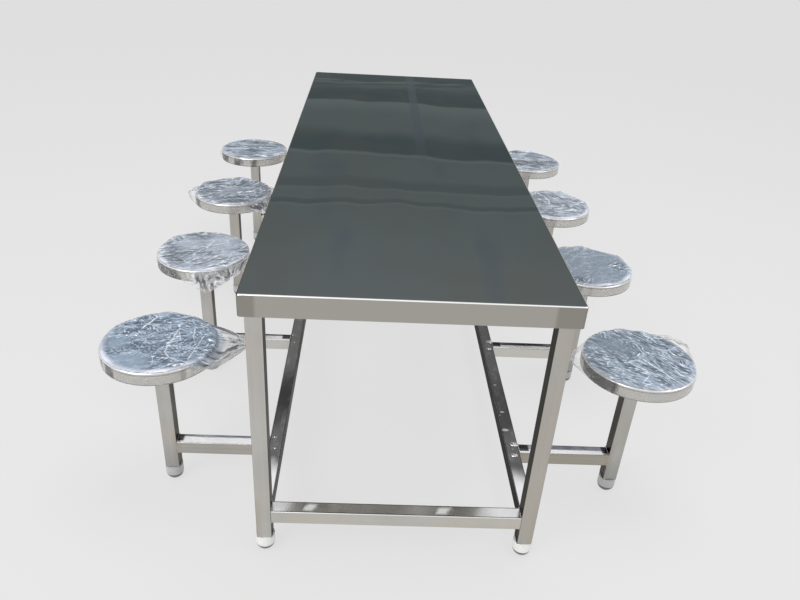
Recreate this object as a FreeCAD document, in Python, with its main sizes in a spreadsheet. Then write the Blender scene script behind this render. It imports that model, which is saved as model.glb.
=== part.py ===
import FreeCAD, Part
import math
import os
import Sketcher

# Canteen table with eight fixed stools. The length runs along Y, the front end is towards -Y,
# and the origin is on the floor under the middle of the top.

os.makedirs("parts", exist_ok=True)
doc = FreeCAD.newDocument("canteen_table")

# Driving sizes in millimetres
driving = {
    # Top: a folded sheet over a board
    "top_length": 2140,
    "top_width": 720,
    "top_height": 750,
    "apron_depth": 52,
    "sheet_gauge": 1.2,
    "top_bend": 4,
    "corner_round": 8,
    "lip_width": 8,
    "board_thick": 12,
    # Square tube of the legs, rails, posts and arms
    "tube_width": 38,
    "tube_wall": 1.5,
    "tube_round": 3,
    # Square tube of the bearers under the board
    "bearer_width": 25,
    "bearer_wall": 1.2,
    "bearer_round": 2,
    # Places of the frame
    "side_overhang": 12,
    "end_overhang": 15,
    "rail_top": 136,
    # Levelling feet and their bushes
    "foot_height": 47,
    "foot_radius": 24,
    "foot_pad_radius": 8,
    "foot_dome": 22,
    "stem_radius": 10,
    "stem_length": 42,
    "thread_play": 0.3,
    "bush_length": 30,
    "bush_play": 0.1,
    # Stools
    "seat_height": 450,
    "seat_radius": 144,
    "seat_rim": 35,
    "seat_gauge": 1.2,
    "seat_bend": 5,
    "seat_hem": 8,
    "plate_side": 110,
    "plate_thick": 4,
    "stool_offset": 618,
    "stool_pitch": 540,
    "stool_shift": 20,
    # Protective film over the seats
    "film_skin": 0.5,
    "film_play": 0.3,
    # Cleats and screws that hold the board down
    "cleat_side": 28,
    "cleat_thick": 3,
    "cleat_length": 30,
    "cleat_hole_inset": 17,
    "screw_radius": 2,
    "screw_head_radius": 4,
    "screw_head_height": 2.4,
    "screw_bite": 9,
    "screw_play": 0.1,
}

# Places along the table, as shares of the stool pitch and of the legs' distance from the middle
stool_place_shares = (-1.5, -0.5, 0.5, 1.5)
bearer_place_shares = (-0.5, 0, 0.5)
cleat_place_shares = (-0.75, -0.25, 0.25, 0.75)

# Sizes that follow from the driving ones
derived = {
    "half_length": "top_length / 2",
    "half_width": "top_width / 2",
    "apron_bottom": "top_height - apron_depth",
    "hollow_depth": "apron_depth - sheet_gauge",
    "inner_bend": "top_bend - sheet_gauge",
    "corner_inner": "corner_round - sheet_gauge",
    "corner_middle": "corner_round - sheet_gauge / 2",
    "wall_middle_across": "half_width - sheet_gauge / 2",
    "wall_middle_along": "half_length - sheet_gauge / 2",
    "wall_inner_across": "half_width - sheet_gauge",
    "wall_inner_along": "half_length - sheet_gauge",
    "lip_across": "wall_inner_across - lip_width",
    "lip_along": "wall_inner_along - lip_width",
    "board_across": "half_width - top_bend",
    "board_along": "half_length - top_bend",
    "board_round": "corner_round - top_bend",
    "frame_top": "top_height - sheet_gauge - board_thick",
    "half_tube": "tube_width / 2",
    "tube_inside": "half_tube - tube_wall",
    "tube_inside_round": "tube_round - tube_wall",
    "half_bearer": "bearer_width / 2",
    "bearer_inside": "half_bearer - bearer_wall",
    "bearer_inside_round": "bearer_round - bearer_wall",
    "leg_across": "half_width - side_overhang - half_tube",
    "leg_along": "half_length - end_overhang - half_tube",
    "leg_length": "frame_top - foot_height",
    "face_across": "leg_across - half_tube",
    "face_along": "leg_along - half_tube",
    "side_rail_length": "2 * face_along",
    "end_rail_length": "2 * face_across",
    "upper_rail_height": "frame_top - half_tube",
    "bearer_height": "frame_top - half_bearer",
    "lower_rail_height": "rail_top - half_tube",
    "arm_start": "leg_across + half_tube",
    "arm_end": "stool_offset - half_tube",
    "arm_length": "arm_end - arm_start",
    "plate_bottom": "seat_height - seat_gauge - plate_thick",
    "half_plate": "plate_side / 2",
    "post_length": "plate_bottom - foot_height",
    "pan_bottom": "seat_height - seat_rim",
    "pan_bend_start": "seat_radius - seat_bend",
    "pan_bend_height": "seat_rim - seat_bend",
    "pan_inner_radius": "seat_radius - seat_gauge",
    "pan_inner_height": "seat_rim - seat_gauge",
    "hem_radius": "seat_radius - seat_hem",
    "film_bend_start": "pan_bend_start + film_play",
    "film_inner_radius": "seat_radius + film_play",
    "film_outer_radius": "film_inner_radius + film_skin",
    "film_height": "seat_rim + film_skin",
    "bush_half": "tube_inside - bush_play",
    "bush_round": "tube_inside_round - bush_play",
    "bush_bore": "stem_radius + thread_play",
    "stem_top": "foot_height + stem_length",
    "dome_centre": "(foot_radius ^ 2 - foot_pad_radius ^ 2 - foot_dome ^ 2)"
                   " / (2 * (foot_radius - foot_pad_radius))",
    "cleat_hole": "screw_radius + screw_play",
    "screw_across": "face_across - cleat_hole_inset",
    "screw_along": "face_along - cleat_hole_inset",
    "screw_head_bottom": "frame_top - cleat_thick - screw_head_height",
    "screw_length": "screw_head_height + cleat_thick + screw_bite",
}
for number, share in enumerate(stool_place_shares, 1):
    derived[f"stool_along_{number}"] = f"stool_shift + {share} * stool_pitch"
    derived[f"plate_along_{number}"] = f"stool_along_{number} - half_plate"
for number, share in enumerate(bearer_place_shares, 1):
    derived[f"bearer_along_{number}"] = f"{share} * leg_along"
for number, share in enumerate(cleat_place_shares, 1):
    derived[f"cleat_along_{number}"] = f"{share} * leg_along"

sheet = doc.addObject("Spreadsheet::Sheet", "sizes")
row = 0
for name, value in driving.items():
    row += 1
    sheet.set(f"A{row}", str(value))
    sheet.setAlias(f"A{row}", name)
for name, rule in derived.items():
    row += 1
    sheet.set(f"A{row}", "=" + rule)
    sheet.setAlias(f"A{row}", name)
doc.recompute()


# A size is given by its name in the sheet, with a minus sign where it points the other way
def amount(name):
    if name == "zero":
        return 0.0
    if name.startswith("-"):
        return -float(sheet.get(name[1:]))
    return float(sheet.get(name))


def formula(name):
    if name == "zero":
        return "0"
    if name.startswith("-"):
        return "-sizes." + name[1:]
    return "sizes." + name


def opposite(name):
    if name.startswith("-"):
        return name[1:]
    return "-" + name


def newBody(label):
    body = doc.addObject("PartDesign::Body", label)
    body.Label = label
    return body


def newSketch(body, role):
    sketch = body.newObject("Sketcher::SketchObject", body.Name + "_sketch")
    for datum in body.Origin.OriginFeatures:
        if datum.Role == role:
            sketch.AttachmentSupport = (datum, [""])
    sketch.MapMode = "FlatFace"
    return sketch


def bindPoint(sketch, geometry, corner, across, along):
    if across is not None:
        constraint = Sketcher.Constraint("DistanceX", -1, 1, geometry, corner, amount(across))
        sketch.setExpression(f"Constraints[{sketch.addConstraint(constraint)}]", formula(across))
    if along is not None:
        constraint = Sketcher.Constraint("DistanceY", -1, 1, geometry, corner, amount(along))
        sketch.setExpression(f"Constraints[{sketch.addConstraint(constraint)}]", formula(along))


# A rectangle about the sketch's origin with rounded corners
def roundedRectangle(sketch, across, along, rounding):
    x, y, r = amount(across), amount(along), amount(rounding)
    ends = [
        ((-x + r, -y), (x - r, -y)),
        ((x, -y + r), (x, y - r)),
        ((x - r, y), (-x + r, y)),
        ((-x, y - r), (-x, -y + r)),
    ]
    centres = [(x - r, -y + r), (x - r, y - r), (-x + r, y - r), (-x + r, -y + r)]
    sides = []
    arcs = []
    for (start, finish), centre, turn in zip(ends, centres, (-0.5, 0, 0.5, 1)):
        line = Part.LineSegment(FreeCAD.Vector(*start, 0), FreeCAD.Vector(*finish, 0))
        sides.append(sketch.addGeometry(line))
        ring = Part.Circle(FreeCAD.Vector(*centre, 0), FreeCAD.Vector(0, 0, 1), r)
        arc = Part.ArcOfCircle(ring, turn * math.pi, (turn + 0.5) * math.pi)
        arcs.append(sketch.addGeometry(arc))
    for index in range(4):
        following = sides[(index + 1) % 4]
        sketch.addConstraint(Sketcher.Constraint("Tangent", sides[index], 2, arcs[index], 1))
        sketch.addConstraint(Sketcher.Constraint("Tangent", arcs[index], 2, following, 1))
    for side in (sides[0], sides[2]):
        sketch.addConstraint(Sketcher.Constraint("Horizontal", side))
    for side in (sides[1], sides[3]):
        sketch.addConstraint(Sketcher.Constraint("Vertical", side))
    for arc in arcs[1:]:
        sketch.addConstraint(Sketcher.Constraint("Equal", arcs[0], arc))
    radius = sketch.addConstraint(Sketcher.Constraint("Radius", arcs[0], r))
    sketch.setExpression(f"Constraints[{radius}]", formula(rounding))
    bindPoint(sketch, sides[0], 1, None, opposite(along))
    bindPoint(sketch, sides[1], 1, across, None)
    bindPoint(sketch, sides[2], 1, None, along)
    bindPoint(sketch, sides[3], 1, opposite(across), None)


def circle(sketch, across, along, radius):
    centre = FreeCAD.Vector(amount(across), amount(along), 0)
    ring = sketch.addGeometry(Part.Circle(centre, FreeCAD.Vector(0, 0, 1), amount(radius)))
    bindPoint(sketch, ring, 3, across, along)
    size = sketch.addConstraint(Sketcher.Constraint("Radius", ring, amount(radius)))
    sketch.setExpression(f"Constraints[{size}]", formula(radius))


# A closed outline through named corners. A corner's arc is the centre of the arc that leaves it,
# with the way that it turns, and one size is enough to hold the corner where that arc ends.
def outline(sketch, corners, arcs=None):
    arcs = arcs or {}
    pieces = []
    for index, (across, along) in enumerate(corners):
        onward = corners[(index + 1) % len(corners)]
        start = FreeCAD.Vector(amount(across), amount(along), 0)
        finish = FreeCAD.Vector(amount(onward[0]), amount(onward[1]), 0)
        if index in arcs:
            centre_across, centre_along, clockwise = arcs[index]
            centre = FreeCAD.Vector(amount(centre_across), amount(centre_along), 0)
            first, last = (finish, start) if clockwise else (start, finish)
            ring = Part.Circle(centre, FreeCAD.Vector(0, 0, 1), centre.distanceToPoint(start))
            arc = Part.ArcOfCircle(ring, ring.parameter(first), ring.parameter(last))
            pieces.append((sketch.addGeometry(arc), 2 if clockwise else 1, 1 if clockwise else 2))
            bindPoint(sketch, pieces[-1][0], 3, centre_across, centre_along)
        else:
            pieces.append((sketch.addGeometry(Part.LineSegment(start, finish)), 1, 2))
    for index, (across, along) in enumerate(corners):
        geometry, start, finish = pieces[index]
        before = pieces[index - 1]
        sketch.addConstraint(
            Sketcher.Constraint("Coincident", before[0], before[2], geometry, start))
        arc = arcs.get((index - 1) % len(corners))
        if arc is None:
            bindPoint(sketch, geometry, start, across, along)
        elif abs(amount(across) - amount(arc[0])) > abs(amount(along) - amount(arc[1])):
            bindPoint(sketch, geometry, start, None, along)
        else:
            bindPoint(sketch, geometry, start, across, None)


def pad(body, sketch, length):
    feature = body.newObject("PartDesign::Pad", body.Name + "_pad")
    feature.Profile = sketch
    feature.setExpression("Length", formula(length))
    sketch.Visibility = False
    return feature


# A pocket into the material above its sketch
def pocketUp(body, sketch, depth):
    feature = body.newObject("PartDesign::Pocket", body.Name + "_pocket")
    feature.Profile = sketch
    feature.Reversed = True
    feature.setExpression("Length", formula(depth))
    sketch.Visibility = False
    return feature


def fillet(body, base, edges, radius):
    feature = body.newObject("PartDesign::Fillet", body.Name + "_bend")
    feature.Base = (base, edges)
    feature.setExpression("Radius", formula(radius))
    return feature


def turned(body, sketch):
    feature = body.newObject("PartDesign::Revolution", body.Name + "_turn")
    feature.Profile = sketch
    feature.ReferenceAxis = (sketch, ["V_Axis"])
    feature.Angle = 360
    sketch.Visibility = False
    return feature


# The names of a feature's edges that lie wholly at one height
def edgesAt(feature, height):
    names = []
    for number, edge in enumerate(feature.Shape.Edges, 1):
        if abs(edge.BoundBox.ZMin - height) + abs(edge.BoundBox.ZMax - height) < 1e-4 * height:
            names.append(f"Edge{number}")
    return names


# Puts a piece at a named place. Its own Z runs up, to the right or to the rear.
turns = {
    "up": FreeCAD.Rotation(),
    "right": FreeCAD.Rotation(FreeCAD.Vector(0, 1, 0), 90),
    "rear": FreeCAD.Rotation(FreeCAD.Vector(1, 0, 0), -90),
}


def placed(piece, across, along, height, turn=turns["up"]):
    piece.Placement = FreeCAD.Placement(FreeCAD.Vector(), turn)
    piece.setExpression("Placement.Base.x", formula(across))
    piece.setExpression("Placement.Base.y", formula(along))
    piece.setExpression("Placement.Base.z", formula(height))
    return piece


# Identical small pieces share one node
def grouped(label, pieces):
    group = doc.addObject("Part::Compound", label)
    group.Label = label
    group.Links = pieces
    return group


tube_section = ("half_tube", "tube_round", "tube_inside", "tube_inside_round")
bearer_section = ("half_bearer", "bearer_round", "bearer_inside", "bearer_inside_round")


# A length of square tube, open at both ends
def tube(label, length, across, along, height, way, section=tube_section):
    outer, outer_round, inner, inner_round = section
    body = newBody(label)
    sketch = newSketch(body, "XY_Plane")
    roundedRectangle(sketch, outer, outer, outer_round)
    roundedRectangle(sketch, inner, inner, inner_round)
    pad(body, sketch, length)
    return placed(body, across, along, height, turns[way])


# The top sheet is folded down on all four sides, and its lower edge is folded in as a lip
def topSheet():
    body = newBody("top_sheet")
    sketch = newSketch(body, "XY_Plane")
    roundedRectangle(sketch, "half_width", "half_length", "corner_round")
    block = pad(body, sketch, "apron_depth")
    doc.recompute()
    bent = fillet(body, block, edgesAt(block, amount("apron_depth")), "top_bend")
    sketch = newSketch(body, "XY_Plane")
    roundedRectangle(sketch, "wall_inner_across", "wall_inner_along", "corner_inner")
    hollow = pocketUp(body, sketch, "hollow_depth")
    doc.recompute()
    fillet(body, hollow, edgesAt(hollow, amount("hollow_depth")), "inner_bend")
    sketch = newSketch(body, "XY_Plane")
    roundedRectangle(sketch, "wall_middle_across", "wall_middle_along", "corner_middle")
    roundedRectangle(sketch, "lip_across", "lip_along", "corner_inner")
    pad(body, sketch, "sheet_gauge")
    return placed(body, "zero", "zero", "apron_bottom")


# Where the cleats stand: the rail's face, the way that the cleat reaches, and its screw
def cleatPlaces():
    places = []
    for number in range(1, len(cleat_place_shares) + 1):
        along = f"cleat_along_{number}"
        places.append(("-face_across", along, 0, "-screw_across", along))
        places.append(("face_across", along, 180, "screw_across", along))
    places.append(("zero", "-face_along", 90, "zero", "-screw_along"))
    places.append(("zero", "face_along", -90, "zero", "screw_along"))
    return places


# The board fills the sheet between its bends, with a pilot hole for each screw
def topBoard():
    body = newBody("top_board")
    sketch = newSketch(body, "XY_Plane")
    roundedRectangle(sketch, "board_across", "board_along", "board_round")
    pad(body, sketch, "board_thick")
    holes = newSketch(body, "XY_Plane")
    for across, along, angle, screw_across, screw_along in cleatPlaces():
        circle(holes, screw_across, screw_along, "cleat_hole")
    pocketUp(body, holes, "screw_bite")
    return placed(body, "zero", "zero", "frame_top")


def cleat(number, across, along, angle):
    body = newBody(f"cleat_{number}")
    sketch = newSketch(body, "XZ_Plane")
    outline(sketch, [
        ("zero", "zero"),
        ("zero", "-cleat_side"),
        ("cleat_thick", "-cleat_side"),
        ("cleat_thick", "-cleat_thick"),
        ("cleat_side", "-cleat_thick"),
        ("cleat_side", "zero"),
    ])
    pad(body, sketch, "cleat_length").Midplane = True
    holes = newSketch(body, "XY_Plane")
    circle(holes, "cleat_hole_inset", "zero", "cleat_hole")
    hole = body.newObject("PartDesign::Pocket", body.Name + "_pocket")
    hole.Profile = holes
    hole.setExpression("Length", formula("cleat_thick"))
    return placed(body, across, along, "frame_top", FreeCAD.Rotation(FreeCAD.Vector(0, 0, 1), angle))


# A pan-head screw, driven upwards through its cleat
def screw(number, across, along):
    body = newBody(f"screw_{number}")
    sketch = newSketch(body, "XZ_Plane")
    outline(sketch, [
        ("zero", "zero"),
        ("screw_head_radius", "zero"),
        ("screw_head_radius", "screw_head_height"),
        ("screw_radius", "screw_head_height"),
        ("screw_radius", "screw_length"),
        ("zero", "screw_length"),
    ])
    turned(body, sketch)
    return placed(body, across, along, "screw_head_bottom")


# A pressed round pan, open below, with its rim hemmed inwards
def seatPan(label, across, along):
    body = newBody(label)
    sketch = newSketch(body, "XZ_Plane")
    outline(sketch, [
        ("zero", "seat_rim"),
        ("zero", "pan_inner_height"),
        ("pan_bend_start", "pan_inner_height"),
        ("pan_inner_radius", "pan_bend_height"),
        ("pan_inner_radius", "seat_gauge"),
        ("hem_radius", "seat_gauge"),
        ("hem_radius", "zero"),
        ("seat_radius", "zero"),
        ("seat_radius", "pan_bend_height"),
        ("pan_bend_start", "seat_rim"),
    ], {
        2: ("pan_bend_start", "pan_bend_height", True),
        8: ("pan_bend_start", "pan_bend_height", False),
    })
    turned(body, sketch)
    return placed(body, across, along, "pan_bottom")


# Clear film drawn over a seat and down its rim
def seatFilm(number, across, along):
    body = newBody(f"seat_film_{number}")
    sketch = newSketch(body, "XZ_Plane")
    outline(sketch, [
        ("zero", "film_height"),
        ("zero", "seat_rim"),
        ("film_bend_start", "seat_rim"),
        ("film_inner_radius", "pan_bend_height"),
        ("film_inner_radius", "zero"),
        ("film_outer_radius", "zero"),
        ("film_outer_radius", "pan_bend_height"),
        ("film_bend_start", "film_height"),
    ], {
        2: ("film_bend_start", "pan_bend_height", True),
        6: ("film_bend_start", "pan_bend_height", False),
    })
    turned(body, sketch)
    return placed(body, across, along, "pan_bottom")


def seatPlate(number, across, along):
    plate = doc.addObject("Part::Box", f"seat_plate_{number}")
    plate.setExpression("Length", formula("plate_side"))
    plate.setExpression("Width", formula("plate_side"))
    plate.setExpression("Height", formula("plate_thick"))
    return placed(plate, across, along, "plate_bottom")


# A threaded bush pressed into a tube's lower end
def footBush(number, across, along):
    body = newBody(f"foot_bush_{number}")
    sketch = newSketch(body, "XY_Plane")
    roundedRectangle(sketch, "bush_half", "bush_half", "bush_round")
    circle(sketch, "zero", "zero", "bush_bore")
    pad(body, sketch, "bush_length")
    return placed(body, across, along, "foot_height")


# A round nylon foot with a domed base, a small flat pad and a threaded stem
def levellingFoot(label, across, along):
    body = newBody(label)
    sketch = newSketch(body, "XZ_Plane")
    outline(sketch, [
        ("zero", "zero"),
        ("foot_pad_radius", "zero"),
        ("foot_radius", "foot_dome"),
        ("foot_radius", "foot_height"),
        ("stem_radius", "foot_height"),
        ("stem_radius", "stem_top"),
        ("zero", "stem_top"),
    ], {1: ("dome_centre", "foot_dome", False)})
    turned(body, sketch)
    return placed(body, across, along, "zero")


nodes = [topSheet(), topBoard()]

# Legs, the frame under the top and the frame near the floor
ends = (("front", "-leg_along"), ("rear", "leg_along"))
sides = (("left", "-leg_across"), ("right", "leg_across"))
feet = []
for end, along in ends:
    for side, across in sides:
        nodes.append(tube(f"leg_{end}_{side}", "leg_length", across, along, "foot_height", "up"))
        feet.append((f"leg_{end}_{side}", across, along))
for level, height in (("top", "upper_rail_height"), ("side", "lower_rail_height")):
    for side, across in sides:
        label = f"{level}_rail_{side}"
        nodes.append(tube(label, "side_rail_length", across, "-face_along", height, "rear"))
for level, height in (("top", "upper_rail_height"), ("end", "lower_rail_height")):
    for end, along in ends:
        label = f"{level}_rail_{end}"
        nodes.append(tube(label, "end_rail_length", "-face_across", along, height, "right"))
for number, place in enumerate(("front", "middle", "rear"), 1):
    nodes.append(tube(f"top_bearer_{place}", "end_rail_length", "-face_across",
                      f"bearer_along_{number}", "bearer_height", "right", bearer_section))

# Stools, numbered from the front end
plates = []
films = []
for side, across, arm_place in (("left", "-stool_offset", "-arm_end"),
                                ("right", "stool_offset", "arm_start")):
    for number in range(1, len(stool_place_shares) + 1):
        label = f"{side}_{number}"
        along = f"stool_along_{number}"
        nodes.append(tube(f"stool_post_{label}", "post_length", across, along, "foot_height", "up"))
        nodes.append(tube(f"stool_arm_{label}", "arm_length", arm_place, along,
                          "lower_rail_height", "right"))
        nodes.append(seatPan(f"seat_pan_{label}", across, along))
        films.append(seatFilm(len(films) + 1, across, along))
        plate = seatPlate(len(plates) + 1, across, f"plate_along_{number}")
        plate.setExpression("Placement.Base.x", formula(across) + " - sizes.half_plate")
        plates.append(plate)
        feet.append((f"stool_{label}", across, along))
nodes.append(grouped("seat_plates", plates))
nodes.append(grouped("seat_films", films))

# A bush and a levelling foot under each leg and post
bushes = []
for name, across, along in feet:
    bushes.append(footBush(len(bushes) + 1, across, along))
    nodes.append(levellingFoot(f"foot_{name}", across, along))
nodes.append(grouped("foot_bushes", bushes))

# Cleats and screws that hold the board to the top frame
cleats = []
screws = []
for across, along, angle, screw_across, screw_along in cleatPlaces():
    cleats.append(cleat(len(cleats) + 1, across, along, angle))
    screws.append(screw(len(screws) + 1, screw_across, screw_along))
nodes.append(grouped("board_cleats", cleats))
nodes.append(grouped("board_screws", screws))

doc.recompute()

for item in doc.Objects:
    if "Invalid" in item.State or "Error" in item.State:
        raise RuntimeError(f"{item.Label} did not build: {item.State}")
for node in nodes:
    if node.Shape.isNull() or not node.Shape.isValid() or not node.Shape.Solids:
        raise RuntimeError(f"{node.Label} has no valid solid")

for node in nodes:
    node.Shape.exportStep(f"parts/{node.Label}.step")
print(len(nodes), "nodes written")
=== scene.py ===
import math

import bpy
from mathutils import Matrix, Vector, noise


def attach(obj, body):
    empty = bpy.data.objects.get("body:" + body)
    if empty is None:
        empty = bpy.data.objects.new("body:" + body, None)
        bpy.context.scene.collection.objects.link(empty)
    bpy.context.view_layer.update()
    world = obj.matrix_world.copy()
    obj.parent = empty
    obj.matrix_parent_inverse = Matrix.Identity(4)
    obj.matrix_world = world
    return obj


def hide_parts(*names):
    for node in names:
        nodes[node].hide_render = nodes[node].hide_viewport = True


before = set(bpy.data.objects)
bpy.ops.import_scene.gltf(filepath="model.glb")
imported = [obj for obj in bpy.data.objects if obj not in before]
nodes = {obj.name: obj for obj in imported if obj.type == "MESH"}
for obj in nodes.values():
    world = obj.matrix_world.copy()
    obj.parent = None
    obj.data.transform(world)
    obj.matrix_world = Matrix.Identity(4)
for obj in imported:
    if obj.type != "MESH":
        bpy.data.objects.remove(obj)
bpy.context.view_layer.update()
scene = bpy.context.scene
print("frame loaded:", len(nodes), "nodes")

# Where the stools stand, and the planes that the frame's tubes meet at, in metres
layout = {
    "tube": 0.038,
    "railTop": 0.136,
    "legAcross": 0.329,
    "legAlong": 1.036,
    "stoolAcross": 0.618,
    "stoolAlong": (-0.79, -0.25, 0.29, 0.83),
    "stoolPitch": 0.54,
    "seatTop": 0.45,
    "seatBottom": 0.415,
    "seatRadius": 0.144,
    "footTop": 0.047,
}
half = layout["tube"] / 2
railSide = layout["legAcross"] + half      # outer face of the long rails
postSide = layout["stoolAcross"] - half    # face of the posts that the arms meet


# A value goes on the socket, and another node's output is linked to it
def socketOf(tree, value, socket):
    if isinstance(value, bpy.types.NodeSocket):
        tree.links.new(value, socket)
    else:
        socket.default_value = value


def addNode(tree, kind, inputs=None, **settings):
    made = tree.nodes.new(kind)
    for name, value in settings.items():
        setattr(made, name, value)
    for name, value in (inputs or {}).items():
        socketOf(tree, value, made.inputs[name])
    return made


def maths(tree, operation, first, second=0.0, third=0.0):
    return addNode(tree, "ShaderNodeMath", {0: first, 1: second, 2: third}, operation=operation).outputs[0]


def product(tree, *values):
    made = values[0]
    for value in values[1:]:
        made = maths(tree, "MULTIPLY", made, value)
    return made


def largest(tree, *values):
    made = values[0]
    for value in values[1:]:
        made = maths(tree, "MAXIMUM", made, value)
    return made


def rest(tree, value):
    return maths(tree, "SUBTRACT", 1.0, value)


# 0 at the low value and 1 at the high one, with a soft step between. The low value may be the larger.
def step(tree, value, low, high):
    made = addNode(tree, "ShaderNodeMapRange", {"Value": value, "From Min": low, "From Max": high},
                   interpolation_type="SMOOTHSTEP")
    return made.outputs["Result"]


def between(tree, value, low, high, soft):
    return product(tree, step(tree, value, low - soft, low + soft), step(tree, value, high + soft, high - soft))


def ranged(tree, value, low, high):
    return addNode(tree, "ShaderNodeMapRange", {"Value": value, "To Min": low, "To Max": high}).outputs["Result"]


def blendColour(tree, factor, first, second):
    made = tree.nodes.new("ShaderNodeMix")
    made.data_type = "RGBA"
    socketOf(tree, factor, made.inputs[0])
    socketOf(tree, first, made.inputs[6])
    socketOf(tree, second, made.inputs[7])
    return made.outputs[2]


def noiseOf(tree, vector, scale, detail=3.0, roughness=0.55, distortion=0.0):
    made = addNode(tree, "ShaderNodeTexNoise", {"Vector": vector, "Scale": scale, "Detail": detail,
                                                "Roughness": roughness, "Distortion": distortion})
    return made.outputs["Fac"]


def stretched(tree, vector, scale):
    return addNode(tree, "ShaderNodeVectorMath", {0: vector, 1: scale}, operation="MULTIPLY").outputs[0]


def joined(tree, x, y, z=0.0):
    return addNode(tree, "ShaderNodeCombineXYZ", {0: x, 1: y, 2: z}).outputs[0]


def apart(tree, vector):
    return addNode(tree, "ShaderNodeSeparateXYZ", {0: vector}).outputs


def bumpOf(tree, surface, height, strength, distance):
    bump = addNode(tree, "ShaderNodeBump", {"Height": height, "Strength": strength, "Distance": distance})
    socketOf(tree, bump.outputs[0], surface.inputs["Normal"])


def startGroup(name, inputs, outputs):
    group = bpy.data.node_groups.new(name, "ShaderNodeTree")
    for socketName, kind, value in inputs:
        socket = group.interface.new_socket(name=socketName, in_out="INPUT", socket_type=kind)
        if value is not None:
            socket.default_value = value
    for socketName, kind in outputs:
        group.interface.new_socket(name=socketName, in_out="OUTPUT", socket_type=kind)
    return group, group.nodes.new("NodeGroupInput").outputs, group.nodes.new("NodeGroupOutput").inputs


def useGroup(tree, group, inputs):
    made = tree.nodes.new("ShaderNodeGroup")
    made.node_tree = group
    for name, value in inputs.items():
        socketOf(tree, value, made.inputs[name])
    return made.outputs


def newMaterial(name):
    material = bpy.data.materials.new(name)
    material.use_nodes = True
    tree = material.node_tree
    return material, tree, tree.nodes["Principled BSDF"], tree.nodes.new("ShaderNodeTexCoord").outputs


# The fine lines that a belt leaves along a tube or a sheet
def buildGrain():
    group, given, made = startGroup("brushedGrain", [
        ("Vector", "NodeSocketVector", None),
        ("Stretch", "NodeSocketVector", (10.0, 700.0, 700.0)),
    ], [("Line", "NodeSocketFloat"), ("Streak", "NodeSocketFloat")])
    fine = stretched(group, given["Vector"], given["Stretch"])
    socketOf(group, noiseOf(group, fine, 1.0, 3.0, 0.7), made["Line"])
    socketOf(group, noiseOf(group, fine, 0.12, 2.0, 0.6), made["Streak"])
    return group


# Cloudy wear from hands and cloths, and a few short scratches
def buildWear():
    group, given, made = startGroup("handlingWear", [
        ("Vector", "NodeSocketVector", None),
        ("Cloud Scale", "NodeSocketFloat", 5.0),
        ("Scratch Scale", "NodeSocketFloat", 30.0),
    ], [("Cloud", "NodeSocketFloat"), ("Scratch", "NodeSocketFloat")])
    place = given["Vector"]
    cloud = noiseOf(group, place, given["Cloud Scale"], 3.0, 0.5)
    socketOf(group, step(group, cloud, 0.3, 0.72), made["Cloud"])
    lines = noiseOf(group, stretched(group, place, (1.0, 7.0, 2.3)), given["Scratch Scale"], 2.0, 0.5, 0.6)
    near = maths(group, "ABSOLUTE", maths(group, "SUBTRACT", lines, 0.5))
    rare = step(group, noiseOf(group, place, 14.0, 1.0), 0.58, 0.68)
    socketOf(group, product(group, step(group, near, 0.004, 0.0), rare), made["Scratch"])
    return group


# How far a face looks up, along the table, across it, and across it towards its middle
def buildFacing():
    group, given, made = startGroup("facing", [
        ("Normal", "NodeSocketVector", None), ("Vector", "NodeSocketVector", None),
    ], [("Up", "NodeSocketFloat"), ("Along", "NodeSocketFloat"), ("Across", "NodeSocketFloat"),
        ("Inward", "NodeSocketFloat")])
    x, y, z = apart(group, given["Normal"])
    socketOf(group, step(group, z, 0.88, 0.99), made["Up"])
    socketOf(group, step(group, maths(group, "ABSOLUTE", y), 0.8, 0.97), made["Along"])
    socketOf(group, step(group, maths(group, "ABSOLUTE", x), 0.8, 0.97), made["Across"])
    outward = product(group, x, maths(group, "SIGN", apart(group, given["Vector"])[0]))
    socketOf(group, step(group, outward, -0.45, -0.9), made["Inward"])
    return group


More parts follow.
